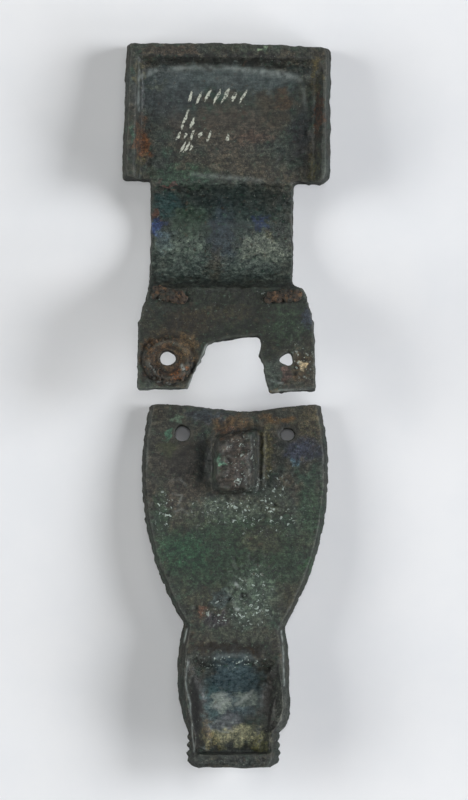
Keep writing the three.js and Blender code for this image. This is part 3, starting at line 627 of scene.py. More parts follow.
def mark_wear(piece):
    mesh, edges = piece.data, edges_of(piece.data)
    points, normals = points_of(mesh), normals_of(mesh)
    around = relax(points, edges, 12)
    bend = ((points - around) * normals).sum(1)
    bend = relax(bend[:, None], edges, 2)[:, 0]
    store(mesh, "worn", ease(bend, 0.025, 0.11))
    store(mesh, "dirty", ease(-bend, 0.02, 0.11))
    print(piece.name, "bend from", round(float(bend.min()), 3), "to", round(float(bend.max()), 3))


mark_wear(head)
mark_wear(foot)

# %% [markdown]
# Pale lines and painted highlights
#
# Thin pale lines lie where mineral has grown on an edge. Painted highlights lie where light runs
# along a burnished rim and on the shiny floor of the hollow. Each has a path in the view, a half
# width and a strength, and is stored as a third attribute. The lines belong to the back, so points
# that look down take none.

# %% Store the pale lines


def mark_pale_lines_and_highlights(piece, lines):
    """Stores the pale lines and painted highlights: name, path, half width in pixels, strength."""
    points, normals = points_of(piece.data), normals_of(piece.data)
    shaky = points + 0.1 * np.stack([hills(points, 0.9, 81 + k) for k in range(3)], 1)
    patchy = np.clip(0.65 + 0.45 * hills(points, 1.2, 87) + 0.55 * hills(points, 0.42, 89), 0.1, 1)
    bloom = np.zeros(len(points))
    for name, path, width, strength in lines:
        far = path_distance(shaky, path) / (width * PIXEL)
        bloom = np.maximum(bloom, np.minimum(1, strength * patchy) * np.exp(-(far**2)))
    store(piece.data, "bloom", bloom * ease(normals[:, 2], -0.3, 0.0))
    print(piece.name, "has", len(lines), "pale lines")


# The pale line along the top slope of the tray is partly a painted highlight
top_slope = [(142, 76), (152, 69), (190, 66.5), (230, 67), (278, 72), (300, 78)]
mark_pale_lines_and_highlights(
    head,
    [
        ("along the top slope", top_slope, 2.8, 0.55),
        ("tray's right wall", [(303, 88), (308, 118)], 2.0, 0.3),
        ("between tray and bow", [(192, 174), (228, 177), (263, 180)], 2.2, 0.3),
        ("broken edge of the left lug", [(207, 345), (198, 366), (187, 389)], 0.9, 0.6),
        ("scratch by the ring", [(150, 364), (160, 376)], 0.8, 0.8),
        ("groove below the ring", [(158, 381), (170, 384)], 0.8, 0.8),
        ("fleck right of the ring", [(182, 366), (184, 370)], 1.5, 1.6),
        ("dent of the right lug", [(271, 381), (283, 384)], 0.9, 0.6),
        ("foot of the left lug", [(140, 390), (186, 390)], 1.0, 0.45),
        ("foot of the right lug", [(272, 391), (312, 389)], 1.0, 0.35),
        ("tray's left wall", [(139, 60), (138.5, 110)], 1.2, 0.3),
    ],
)
mark_pale_lines_and_highlights(
    foot,
    [
        ("step on the left cheek", [(187, 629), (184, 643)], 0.8, 0.6),
        # The pale line on the left edge of the hollow is partly a painted highlight along the ridge
        ("left edge of the hollow", [(188, 662), (185.5, 682), (190.5, 708), (194, 751)], 0.8, 0.5),
        ("step on the right cheek", [(282, 631), (284, 657), (284.5, 686)], 0.8, 0.5),
        ("left corner of the slot", [(199, 746), (207, 751)], 0.7, 0.3),
        ("rust band's lower edge", [(200, 659), (230, 656), (262, 660)], 2.0, 0.15),
        # The lines in the hollow, down to the lower line below the seams, are painted highlights
        ("seam in the hollow", [(216, 697), (226, 696)], 1.8, 1.2),
        ("painted glint in the hollow", [(216, 707), (219, 708)], 2.6, 2.4),
        ("streak in the hollow", [(221, 704), (230, 700)], 1.2, 1.3),
        ("second seam in the hollow", [(236, 706), (253, 692)], 1.4, 1.3),
        ("above the second seam", [(241, 698), (250, 700)], 0.9, 0.6),
        ("upper line below the seams", [(216, 722), (233, 723)], 0.9, 0.8),
        ("middle line below the seams", [(217, 727), (231, 729)], 0.9, 0.7),
        ("lower line below the seams", [(219, 732), (229, 733)], 0.8, 0.6),
        ("left edge of the leaf", [(150, 412), (146, 470)], 1.0, 0.15),
        ("old scratch", [(171, 481), (180, 479), (186, 486)], 0.9, 0.35),
        ("second scratch", [(172, 494), (182, 496), (178, 505)], 0.9, 0.35),
        ("third scratch", [(174, 512), (181, 509), (188, 515)], 0.9, 0.3),
        ("upper fleck on the leaf", [(236, 584), (238, 586)], 1.4, 1.2),
        ("lower fleck on the leaf", [(236, 609), (238, 610)], 1.4, 1.2),
        ("crack in the stub", [(250, 467), (246, 476), (246, 488)], 1.3, 0.5),
    ],
)

# %% [markdown]
# Handing a piece over
#
# The castings were worked on in millimetres, and the scene is in metres. Each finished mesh is
# scaled once, gets its material, and is tied to the body it rides.
# A piece that stands for nodes of the solid names them, so they are hidden behind it.

# %% Bring a finished mesh to metres


def finish_piece(piece, name, material, nodes=()):
    """Scales and names a piece, and ties it to the body and the nodes it replaces."""
    mesh = piece.data
    set_points(mesh, points_of(mesh) * MM)
    mesh.polygons.foreach_set("use_smooth", np.ones(len(mesh.polygons), bool))
    mesh.materials.clear()
    mesh.materials.append(material)
    piece.name = mesh.name = name
    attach(piece, "root")
    if nodes:
        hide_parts(*nodes)
    print(name, "has", sum(len(p.vertices) - 2 for p in mesh.polygons), "triangles")


# %% [markdown]
# Shader groups
#
# The patina is one skin with many stains in it, so its parts are built once as node groups: a
# soft oval stain, a mottle, flecks and a crackle. Each group gives masks only. Colours and the
# Principled shader stay in the material, where they can be read and changed.

# %% Colours
PIGMENT, CALM = 0.5, 0.06


def linear(colour):
    """A screen colour from 0 to 255 as linear light."""
    shares = [c / 255 for c in colour]
    bent = [c / 12.92 if c <= 0.04045 else ((c + 0.055) / 1.055) ** 2.4 for c in shares]
    return (*bent, 1.0)


def pigment(colour):
    """Darker and calmer than the colour seen, because the sheen of the skin adds pale light."""
    shares = linear(colour)[:3]
    grey = sum(shares) / 3
    return (*(PIGMENT * (c + CALM * (grey - c)) for c in shares), 1.0)


print("mid grey seen, as a pigment:", round(pigment((128, 128, 128))[0], 3))

# %% Node helpers


class Wiring:
    """A short way to add nodes to one tree and join them."""

    def __init__(self, tree):
        self.tree = tree

    def add(self, kind, inputs=None, **settings):
        node = self.tree.nodes.new(kind)
        for name, value in settings.items():
            setattr(node, name, value)
        for key, value in (inputs or {}).items():
            socket = node.inputs[key]
            if isinstance(value, bpy.types.NodeSocket):
                self.tree.links.new(value, socket)
            else:
                socket.default_value = value
        return node

    def math(self, operation, a, b=0.0, clamp=False):
        node = self.add("ShaderNodeMath", {0: a, 1: b}, operation=operation, use_clamp=clamp)
        return node.outputs[0]

    def vector(self, operation, a, b=(0, 0, 0)):
        node = self.add("ShaderNodeVectorMath", {0: a, 1: b}, operation=operation)
        return node.outputs["Value" if operation == "LENGTH" else "Vector"]

    def ramp(self, value, start, end, low=0.0, high=1.0):
        node = self.add(
            "ShaderNodeMapRange",
            {"Value": value, 1: start, 2: end, 3: low, 4: high},
            interpolation_type="SMOOTHSTEP",
        )
        return node.outputs["Result"]

    def mix(self, share, below, above, blend="MIX"):
        node = self.add(
            "ShaderNodeMix",
            {0: share, 6: below, 7: above},
            data_type="RGBA",
            blend_type=blend,
        )
        return node.outputs[2]

    def noise(self, place, scale, detail=3.0, roughness=0.55):
        node = self.add(
            "ShaderNodeTexNoise",
            {"Vector": place, "Scale": scale, "Detail": detail, "Roughness": roughness},
        )
        return node.outputs[0]


def new_group(name, inputs, outputs):
    """An empty shader group with named sockets; each input is (name, kind, value)."""
    tree = bpy.data.node_groups.new(name, "ShaderNodeTree")
    for label, kind, value in inputs:
        socket = tree.interface.new_socket(label, in_out="INPUT", socket_type=kind)
        socket.default_value = value
    for label, kind in outputs:
        tree.interface.new_socket(label, in_out="OUTPUT", socket_type=kind)
    wiring = Wiring(tree)
    return wiring, wiring.add("NodeGroupInput").outputs, wiring.add("NodeGroupOutput").inputs


FLOAT, VECTOR = "NodeSocketFloat", "NodeSocketVector"
print("node trees so far:", len(bpy.data.node_groups))

# %% [markdown]
# The masks
#
# An oval is the length of a scaled step from its centre, passed through a ramp. A mottle and
# the flecks are ramps of one noise, wide and narrow. A crackle is the border between the cells
# of a Voronoi pattern.

# %% A soft oval stain


def build_stain_group():
    wiring, given, out = new_group(
        "Oval stain",
        [
            ("Place", VECTOR, (0, 0, 0)),
            ("Centre", VECTOR, (0, 0, 0)),
            ("Reach", VECTOR, (1, 1, 1)),
            ("Softness", FLOAT, 0.4),
        ],
        [("Mask", FLOAT)],
    )
    step = wiring.vector("SUBTRACT", given["Place"], given["Centre"])
    step = wiring.vector("DIVIDE", step, given["Reach"])
    far = wiring.vector("LENGTH", step)
    outer = wiring.math("ADD", 1.0, given["Softness"])
    inner = wiring.math("SUBTRACT", 1.0, given["Softness"])
    wiring.tree.links.new(wiring.ramp(far, outer, inner), out["Mask"])
    return wiring.tree


stain_group = build_stain_group()
print(stain_group.name, "has", len(stain_group.nodes), "nodes")

# %% Mottles and specks


def build_mottle_group():
    wiring, given, out = new_group(
        "Mottle",
        [
            ("Place", VECTOR, (0, 0, 0)),
            ("Scale", FLOAT, 1.0),
            ("Low", FLOAT, 0.4),
            ("High", FLOAT, 0.6),
        ],
        [("Mask", FLOAT)],
    )
    cloud = wiring.noise(given["Place"], given["Scale"], 5.0, 0.6)
    wiring.tree.links.new(wiring.ramp(cloud, given["Low"], given["High"]), out["Mask"])
    return wiring.tree


def build_fleck_group():
    wiring, given, out = new_group(
        "Flecks",
        [("Place", VECTOR, (0, 0, 0)), ("Scale", FLOAT, 4.0), ("Amount", FLOAT, 0.3)],
        [("Mask", FLOAT)],
    )
    cloud = wiring.noise(given["Place"], given["Scale"], 2.0, 0.6)
    least = wiring.math("SUBTRACT", 0.8, wiring.math("MULTIPLY", given["Amount"], 0.3))
    most = wiring.math("ADD", least, 0.05)
    wiring.tree.links.new(wiring.ramp(cloud, least, most), out["Mask"])
    return wiring.tree


def build_crackle_group():
    wiring, given, out = new_group(
        "Crackle",
        [("Place", VECTOR, (0, 0, 0)), ("Scale", FLOAT, 2.0), ("Width", FLOAT, 0.06)],
        [("Mask", FLOAT)],
    )
    cells = wiring.add(
        "ShaderNodeTexVoronoi",
        {"Vector": given["Place"], "Scale": given["Scale"]},
        feature="DISTANCE_TO_EDGE",
    )
    wiring.tree.links.new(wiring.ramp(cells.outputs["Distance"], given["Width"], 0.0), out["Mask"])
    return wiring.tree


mottle_group = build_mottle_group()
crackle_group = build_crackle_group()
fleck_group = build_fleck_group()
print("shader groups:", [g.name for g in bpy.data.node_groups])

# %% [markdown]
# The patina
#
# From below upwards: a dark brown-green ground; the stains, each named for what it is and where
# it lies, a few of them painted shade, painted light or painted highlights; lights and darks of
# five sizes; pale worn edges and dark dirt; painted shade on flanks and steep places; pale lines
# and painted highlights, cracks and specks. The stains are ovals on the plan of the brooch, and
# one shared wobble of the coordinates makes all their edges ragged. They were seen on the back
# only, so the front keeps the plain ground. Roughness and bump follow the same masks, so rust is
# dull and crusted while the hollows keep the dull shine of a burnished skin.

# %% The stains of the head fragment
# name, centre in the view, half size in the view, colour, strength, roughness
head_stains = [
    ("blue-grey of the tray", 165, 92, 34, 24, (68, 79, 84), 0.8, 0.5),
    ("blue-grey below the top slope", 228, 78, 84, 13, (84, 98, 102), 0.8, 0.45),
    ("pale bloom in the tray's corner", 158, 85, 9, 4, (112, 122, 108), 0.55, 0.6),
    ("pale bloom by the right wall", 306, 88, 6, 12, (88, 96, 84), 0.5, 0.6),
    ("teal of the tray", 265, 150, 26, 18, (58, 76, 74), 0.6, 0.5),
    ("dark blue of the right floor", 302, 132, 10, 26, (42, 50, 58), 0.8, 0.45),
    ("brown of the tray", 230, 130, 40, 24, (86, 80, 72), 0.85, 0.6),
    ("red-brown streak", 252, 137, 18, 6, (94, 74, 66), 0.6, 0.6),
    ("brown left of the middle", 178, 125, 14, 12, (68, 66, 66), 0.5, 0.5),
    ("rust on the left wall", 142, 141, 8, 19, (120, 78, 48), 0.95, 0.85),
    ("rust right of the tray", 284, 99, 9, 11, (92, 74, 58), 0.7, 0.75),
    ("rust line on the right wall", 319, 110, 3, 28, (98, 62, 42), 0.85, 0.8),
    ("olive on the left wall", 138, 74, 3, 16, (92, 88, 58), 0.7, 0.7),
    ("olive at the left foot of the wall", 141, 164, 5, 10, (90, 90, 62), 0.7, 0.7),
    ("olive on the right wall", 316, 74, 5, 20, (92, 84, 52), 0.75, 0.7),
    ("olive low on the right wall", 314, 168, 5, 14, (90, 84, 46), 0.7, 0.7),
    # painted shade: the top slope of the tray turns away from the lights
    ("painted shade of the top slope", 228, 59, 84, 6, (26, 30, 29), 0.8, 0.6),
    ("brown on the top rim", 172, 49, 26, 5, (92, 74, 62), 0.55, 0.6),
    ("green on the top rim", 240, 47, 40, 4, (74, 84, 70), 0.5, 0.55),
    ("pale green fleck", 263, 48, 5, 2, (136, 160, 136), 0.8, 0.6),
    ("green low in the tray", 188, 176, 34, 11, (50, 86, 68), 0.75, 0.55),
    ("grey-brown low in the tray", 245, 166, 40, 14, (86, 80, 70), 0.6, 0.65),
    ("pink fleck at the bow", 172, 186, 8, 3, (122, 74, 72), 0.75, 0.6),
    ("green flecks on the left rim", 130, 134, 3, 9, (74, 112, 96), 0.7, 0.6),
    ("teal of the bow", 222, 236, 74, 50, (56, 73, 72), 0.85, 0.38),
    # painted shade: the steep upper wall of the bow's hollow
    ("painted shade of the bow's top", 225, 198, 74, 14, (42, 52, 52), 0.6, 0.45),
    ("teal high on the left of the bow", 166, 204, 14, 10, (50, 86, 90), 0.6, 0.45),
    ("green of the bow", 190, 222, 18, 15, (62, 86, 68), 0.6, 0.45),
    ("blue of the bow", 222, 240, 12, 34, (60, 72, 88), 0.6, 0.5),
    ("copper blue at the bow's left edge", 158, 226, 5, 8, (44, 70, 126), 0.95, 0.5),
    ("sky blue below it", 164, 240, 8, 11, (92, 118, 134), 0.65, 0.5),
    ("copper blue at the right", 261, 224, 10, 5, (44, 60, 98), 0.8, 0.45),
    # painted highlights where the lights shine on the bow, on smoother skin
    ("painted highlight on the right of the bow", 263, 250, 24, 15, (138, 148, 138), 0.65, 0.28),
    ("painted highlight on the left of the bow", 180, 248, 26, 14, (104, 120, 112), 0.6, 0.32),
    # teal patina, lightened as painted light on the steep lower part of the bow
    ("teal and painted light low on the bow", 222, 270, 66, 14, (100, 114, 112), 0.8, 0.45),
    ("brown streak down the bow", 215, 266, 8, 17, (84, 76, 66), 0.6, 0.5),
    ("olive on the bow", 270, 236, 6, 5, (96, 92, 58), 0.5, 0.5),
    ("rust on the bow's edge", 155, 213, 3, 5, (96, 56, 44), 0.7, 0.7),
    ("green-black of the lug plate", 225, 325, 92, 44, (34, 43, 33), 0.95, 0.62),
    ("brown below the left lump", 188, 322, 22, 13, (64, 54, 44), 0.6, 0.75),
    ("olive-brown across the plate", 226, 314, 36, 8, (66, 62, 48), 0.5, 0.65),
    ("green of the right lug", 288, 325, 20, 18, (50, 72, 56), 0.6, 0.6),
    ("blue tint at the right edge", 307, 318, 5, 8, (64, 76, 104), 0.6, 0.5),
    ("grey-green of the right lug's foot", 272, 374, 14, 14, (80, 94, 90), 0.6, 0.5),
    ("brown pitting", 300, 366, 13, 14, (88, 72, 56), 0.75, 0.8),
    ("pink fleck on the right lug", 286, 376, 4, 7, (108, 80, 78), 0.6, 0.6),
    ("ochre on the right lug's foot", 274, 391, 8, 3, (122, 104, 70), 0.7, 0.7),
    ("buff fleck", 303, 365, 3, 3, (206, 188, 156), 0.85, 0.8),
    ("rust round the left hole", 169, 359, 25, 25, (92, 72, 54), 0.9, 0.85),
    ("ochre rust", 188, 348, 11, 13, (112, 92, 66), 0.85, 0.85),
    ("ochre rust at the left", 150, 350, 6, 9, (108, 80, 54), 0.7, 0.85),
    ("dark rust", 158, 375, 14, 9, (56, 46, 42), 0.8, 0.85),
    ("orange rust", 181, 374, 7, 5, (124, 80, 50), 0.9, 0.85),
    ("green foot of the left lug", 152, 388, 22, 4, (82, 96, 86), 0.6, 0.6),
]

print(len(head_stains), "stains on the head fragment")

# %% [markdown]
# Stains of the foot fragment
#
# The list has the same form. Later stains lie over earlier ones, so the wide fields come before
# the flecks on them.

# %% The stains of the foot fragment
foot_stains = [
    ("brown of the upper left", 172, 468, 30, 44, (74, 70, 64), 0.85, 0.55),
    ("dark brown beside the stub", 184, 470, 16, 22, (64, 62, 62), 0.6, 0.5),
    ("olive-green by the left hole", 168, 447, 10, 9, (78, 88, 60), 0.6, 0.6),
    ("brown patch with pale scratches", 184, 502, 18, 24, (84, 78, 70), 0.7, 0.6),
    ("red-brown below it", 178, 527, 9, 7, (84, 70, 62), 0.5, 0.6),
    ("blue of the broken edge", 208, 416, 22, 7, (66, 76, 90), 0.7, 0.5),
    ("rust above the stub", 232, 424, 20, 8, (106, 84, 58), 0.85, 0.75),
    ("orange rust at its left", 226, 432, 10, 5, (104, 70, 46), 0.8, 0.8),
    ("rust right of the stub", 277, 419, 15, 5, (116, 88, 54), 0.8, 0.75),
    ("olive beside the stub", 267, 452, 6, 26, (98, 94, 62), 0.7, 0.7),
    ("brown of the upper right", 308, 426, 14, 20, (86, 80, 62), 0.8, 0.65),
    ("dark blue of the right", 303, 450, 18, 11, (50, 60, 86), 0.85, 0.5),
    ("sky-blue fleck", 293, 460, 4, 4, (84, 124, 146), 0.7, 0.5),
    ("green of the leaf", 240, 560, 74, 52, (46, 72, 55), 0.85, 0.6),
    ("green of the right edge", 312, 508, 12, 30, (56, 88, 68), 0.7, 0.6),
    ("green of the left edge", 160, 528, 9, 44, (58, 84, 68), 0.6, 0.6),
    ("bright green left of the middle", 184, 552, 24, 20, (42, 86, 64), 0.7, 0.6),
    ("pale bloom below the stub", 232, 508, 34, 12, (100, 116, 104), 0.6, 0.65),
    ("pale bloom right of the stub", 276, 500, 14, 12, (84, 96, 84), 0.5, 0.65),
    ("brown fleck in the middle", 262, 540, 22, 14, (76, 72, 58), 0.5, 0.65),
    ("brown low on the right", 290, 600, 18, 22, (70, 66, 56), 0.6, 0.6),
    ("brown low on the left", 212, 600, 22, 16, (80, 76, 64), 0.55, 0.65),
    ("pale bloom low on the leaf", 252, 598, 24, 28, (104, 122, 112), 0.55, 0.6),
    ("red fleck", 203, 611, 6, 5, (112, 74, 58), 0.65, 0.7),
    ("blue low in the middle", 222, 598, 10, 9, (60, 84, 96), 0.55, 0.55),
    ("violet dark patch", 217, 621, 10, 7, (64, 60, 70), 0.85, 0.5),
    ("bright green fleck", 310, 566, 8, 6, (64, 112, 72), 0.6, 0.6),
    ("grey-brown of the stub", 234, 464, 20, 32, (80, 71, 67), 0.9, 0.55),
    ("turquoise on the stub", 222, 461, 5, 6, (104, 154, 132), 0.9, 0.6),
    ("green on the stub's left edge", 214, 470, 3, 14, (70, 92, 72), 0.6, 0.6),
    # painted shadow cast by the stub to its left
    ("painted shadow at the foot of the stub", 203, 456, 6, 26, (44, 52, 54), 0.75, 0.5),
    ("pale green above the left hole", 176, 420, 5, 4, (112, 142, 122), 0.65, 0.6),
    ("turquoise left of the left hole", 168, 434, 3, 5, (82, 134, 112), 0.75, 0.6),
    ("ring of the right hole", 287, 436, 13, 12, (50, 48, 46), 0.6, 0.6),
    ("olive of the neck", 240, 636, 42, 9, (72, 77, 66), 0.7, 0.6),
    ("rust band above the hollow", 232, 649, 38, 7, (34, 27, 18), 0.95, 0.75),
    ("brown rim of the hollow", 230, 662, 40, 5, (36, 36, 32), 0.85, 0.6),
    # blue patina, lightened as painted light where the upper hollow turns from the lights
    ("blue and painted light of the hollow", 234, 690, 27, 32, (92, 114, 124), 0.95, 0.32),
    ("teal of the hollow", 213, 706, 10, 22, (86, 118, 124), 0.7, 0.3),
    # painted shade on the steep side walls of the hollow
    ("painted shade on the hollow's left wall", 196, 712, 6, 42, (30, 31, 31), 0.9, 0.5),
    ("painted shade on the hollow's right wall", 270, 702, 7, 42, (34, 33, 30), 0.9, 0.5),
    # painted highlights where the lights shine on the floor of the hollow
    ("painted highlight at the left of the hollow", 221, 703, 9, 11, (186, 200, 192), 0.75, 0.22),
    ("painted highlight at the right of the hollow", 246, 699, 11, 8, (166, 182, 172), 0.65, 0.22),
    ("lilac flecks", 226, 724, 14, 10, (128, 132, 142), 0.6, 0.4),
    # olive patina on the lip, lightened as painted light where the lip faces the lights
    ("olive lip with painted light", 236, 736, 30, 8.5, (172, 172, 140), 0.9, 0.45),
    ("olive left corner of the lip", 212, 741, 8, 9, (140, 134, 96), 0.85, 0.45),
    ("olive right corner of the lip", 260, 742, 7, 9, (128, 128, 80), 0.8, 0.45),
    ("ochre corner of the lip", 208, 730, 4, 9, (124, 104, 66), 0.7, 0.5),
    ("dark slot", 235, 751, 24, 4, (70, 75, 76), 0.85, 0.6),
    ("grey end rim", 232, 763, 44, 6, (60, 67, 67), 0.8, 0.45),
    ("grey right rim", 281, 712, 8, 26, (104, 108, 104), 0.8, 0.5),
]
print(len(foot_stains), "stains on the foot fragment")

# %% [markdown]
# Specks and paint
#
# Pale specks crowd in a few places, so they have their own ovals, and so have the calm fields.
# On the tray some rows of old pale paint have worn to dabs: short strokes with no shape left in
# them. They are colour and not relief, so the material draws them from a list.

# %% Specks and dabs
# fields of specks and calm fields: centre and half size in the view
head_specks = {
    "edge of the right lug": (300, 362, 13, 15),
    "beside the right iron lump": (268, 297, 6, 6),
    "on the left iron lump": (158, 300, 8, 6),
}
head_calm = {
    "upper floor of the tray": (225, 95, 86, 36),
    "upper part of the bow": (222, 210, 64, 24),
}
foot_calm = {
    "hollow of the animal head": (232, 692, 36, 40),
    "left of the stub": (180, 445, 20, 24),
}
foot_specks = {
    "low on the leaf": (254, 594, 18, 26),
    "above the neck": (240, 612, 30, 14),
    "right below the stub": (250, 516, 50, 16),
    "on the stub": (240, 464, 14, 28),
    "below the stub": (232, 508, 36, 12),
    "right of the stub": (270, 490, 14, 20),
    "rim of the hollow": (228, 662, 40, 6),
    "left edge of the leaf": (165, 512, 12, 22),
}
# rows of paint: first and last place in the view, strokes, half length and half width, slant
paint_rows = [
    ((190, 96), (243, 95), 7, 7.0, 1.5, 66),
    ((185, 120), (192, 121), 2, 7.0, 1.4, 66),
    ((178, 135), (200, 134), 4, 3.4, 1.3, 66),
    ((209, 136), (228, 136), 2, 4.0, 1.6, 66),
    ((183, 146), (191, 146), 3, 4.0, 1.2, 66),
]


def row_of_dabs(start, end, count, long_half, wide_half, slant):
    """Strokes of one slant, evenly spaced from start to end."""
    places = zip(np.linspace(start[0], end[0], count), np.linspace(start[1], end[1], count))
    jitter = scramble(np.array([[i, count, slant] for i in range(3 * count)]), 17) - 0.5
    dabs = []
    for (px, py), (up, longer, turn) in zip(places, jitter.reshape(-1, 3)):
        dabs.append((px, py + 2 * up, long_half * (1 + longer), wide_half, slant + 14 * turn))
    return dabs


paint_dabs = [dab for row in paint_rows for dab in row_of_dabs(*row)]
print(len(paint_dabs), "dabs of paint")

# %% [markdown]
# Masks from lists
#
# The material needs one mask for each oval in the lists. One helper makes it with the stain
# group, and others chain the stains, join ovals that work together, and turn the dabs of paint.

# %% Ovals and stains


def oval(wiring, place, centre, reach, softness, label=""):
    """The mask of one oval: centre and half size in the view."""
    node = wiring.add(
        "ShaderNodeGroup",
        {
            "Place": place,
            "Centre": (*seen(*centre), 0),
            "Reach": (reach[0] * PIXEL, reach[1] * PIXEL, 1),
            "Softness": softness,
        },
        node_tree=stain_group,
        label=label,
    )
    return node.outputs[0]


def stain_chain(wiring, place, below, rough_below, stains):
    """Lays the stains over a colour and a roughness, one after another."""
    for name, px, py, rx, ry, colour, strength, roughness in stains:
        mask = oval(wiring, place, (px, py), (rx, ry), 0.45, name)
        share = wiring.math("MULTIPLY", mask, strength)
        below = wiring.mix(share, below, pigment(colour))
        step = wiring.add(
            "ShaderNodeMix", {0: share, 2: rough_below, 3: roughness}, data_type="FLOAT"
        )
        rough_below = step.outputs[0]
    return below, rough_below


def oval_union(wiring, place, ovals):
    """The mask of several ovals together."""
    total = 0.0
    for name, (px, py, rx, ry) in ovals.items():
        total = wiring.math("MAXIMUM", oval(wiring, place, (px, py), (rx, ry), 0.5, name), total)
    return total


fields = {**head_calm, **head_specks, **foot_calm, **foot_specks}
print(len(fields), "calm and specked fields")

# %% Dabs, mottles and flecks


def dab_mask(wiring, place, dabs):
    """Short flat-sided strokes, each turned by its own slant."""
    total = 0.0
    for px, py, long_half, wide_half, slant in dabs:
        turned = wiring.add(
            "ShaderNodeVectorRotate",
            {
                "Vector": place,
                "Center": (*seen(px, py), 0),
                "Axis": (0, 0, 1),
                "Angle": -math.radians(slant),
            },
            rotation_type="AXIS_ANGLE",
        )
        mask = oval(wiring, turned.outputs[0], (px, py), (long_half, wide_half), 0.25)
        total = wiring.math("MAXIMUM", mask, total)
    return total


def group_mask(wiring, group, place, **values):
    """The mask of a group whose other inputs are given by name."""
    inputs = {"Place": place, **{name.capitalize(): value for name, value in values.items()}}
    return wiring.add("ShaderNodeGroup", inputs, node_tree=group).outputs[0]


def mottle(wiring, place, scale, low, high):
    return group_mask(wiring, mottle_group, place, scale=scale, low=low, high=high)


def flecks(wiring, place, scale, amount):
    return group_mask(wiring, fleck_group, place, scale=scale, amount=amount)


def attribute(wiring, name):
    """A number that the mesh stores at each point."""
    return wiring.add("ShaderNodeAttribute", attribute_name=name).outputs["Fac"]


stored = [layer.name for layer in head.data.attributes if layer.data_type == "FLOAT"]
print("numbers stored on the mesh:", stored)

# %% [markdown]
# Places for the patterns
#
# All patterns are drawn in millimetres from the object's own coordinates. A cloud of noise moves
# them a little, by one amount for ragged stains and by another for shaky paint.

# %% Places for the patterns
RAGGED, SHAKY, BENT, TORN = 3.6, 0.9, 1.6, 0.8


def millimetre_place(wiring):
    """Object coordinates in millimetres."""
    own = wiring.add("ShaderNodeTexCoord").outputs["Object"]
    return wiring.vector("MULTIPLY", own, (1 / MM,) * 3)


def patina_places(wiring):
    """The same place in six ways, so that patterns wobble or don't fall on each other."""
    place = millimetre_place(wiring)
    flat = wiring.vector("MULTIPLY", place, (1, 1, 0))
    cloud = wiring.add("ShaderNodeTexNoise", {"Vector": place, "Scale": 0.9, "Detail": 4.0})
    wobble = wiring.vector("SUBTRACT", cloud.outputs["Color"], (0.5, 0.5, 0.5))

    def moved(start, amount):
        return wiring.vector("ADD", start, wiring.vector("MULTIPLY", wobble, amount))

    elsewhere = wiring.vector("ADD", place, (31, 7, 3))
    return {
        "true": place,
        "elsewhere": elsewhere,
        "bent": moved(place, (BENT, BENT, BENT)),
        "torn": moved(elsewhere, (TORN, TORN, TORN)),
        "ragged": moved(flat, (RAGGED, RAGGED, 0)),
        "shaky": moved(flat, (SHAKY, SHAKY, 0)),
    }


print("a stain's edge wanders by up to", RAGGED / 2, "mm")

# %% [markdown]
# Layers of the patina
#
# Each layer is a function that takes a colour and gives it back with something laid over it.
# A calm field has weaker lights and darks, so the smooth hollows stay quiet. Flanks and steep
# places are darkened as painted shade, since they turn away from the lights above.

# %% Ground, lights and darks
GREY_GREEN, GREY_BROWN, DEEP_GREEN = (62, 72, 68), (76, 72, 62), (52, 76, 66)
FRESH_GREEN, EARTH_BROWN = (66, 108, 86), (98, 76, 58)
# PALE_LINE_AND_HIGHLIGHT colours pale mineral lines and painted highlights alike
WORN, DIRTY, PALE_LINE_AND_HIGHLIGHT = (124, 128, 118), (30, 33, 31), (196, 208, 203)
DARK_TINT, LIGHT_TINT = (0.4, 0.44, 0.45, 1), (1.66, 1.62, 1.55, 1)
# The tint of the painted shade on flanks and steep places
PAINTED_SHADE_TINT = (0.3, 0.33, 0.33, 1)


def shaded(wiring, colour, mask, amount):
    """Darkens a colour where the mask is low and lightens it where the mask is high."""
    tint = wiring.mix(mask, DARK_TINT, LIGHT_TINT)
    return wiring.mix(amount, colour, tint, "MULTIPLY")


def ground_colour(wiring, place):
    two_greys = mottle(wiring, place, 0.28, 0.38, 0.62)
    ground = wiring.mix(two_greys, pigment(GREY_GREEN), pigment(GREY_BROWN))
    return wiring.mix(mottle(wiring, place, 0.5, 0.5, 0.7), ground, pigment(DEEP_GREEN))


def mottled(wiring, at, colour, lively, fine, grain):
    """Lights and darks of five sizes, then patches of green and of brown."""
    place = at["true"]
    broad = mottle(wiring, place, 1.15, 0.34, 0.66)
    stretched = wiring.vector("MULTIPLY", place, (0.8, 4.5, 1.5))
    streaks = mottle(wiring, stretched, 1.0, 0.3, 0.7)
    blotch = mottle(wiring, at["bent"], 1.6, 0.42, 0.58)
    colour = shaded(wiring, colour, broad, 0.55)
    colour = shaded(wiring, colour, blotch, wiring.math("MULTIPLY", lively, 0.42))
    colour = shaded(wiring, colour, streaks, 0.4)
    colour = shaded(wiring, colour, fine, wiring.math("MULTIPLY", lively, 0.85))
    colour = shaded(wiring, colour, grain, wiring.math("MULTIPLY", lively, 0.8))
    green = wiring.math("MULTIPLY", mottle(wiring, place, 1.7, 0.58, 0.72), 0.5)
    colour = wiring.mix(green, colour, pigment(FRESH_GREEN))
    brown = wiring.math("MULTIPLY", mottle(wiring, at["elsewhere"], 1.3, 0.58, 0.74), 0.5)
    return wiring.mix(brown, colour, pigment(EARTH_BROWN))


def handled(wiring, colour):
    """Pale where the skin stands out and is worn, dark where dirt stays."""
    worn = wiring.math("MULTIPLY", attribute(wiring, "worn"), 0.4)
    colour = wiring.mix(worn, colour, pigment(WORN))
    dirty = wiring.math("MULTIPLY", attribute(wiring, "dirty"), 0.7)
    return wiring.mix(dirty, colour, pigment(DIRTY))


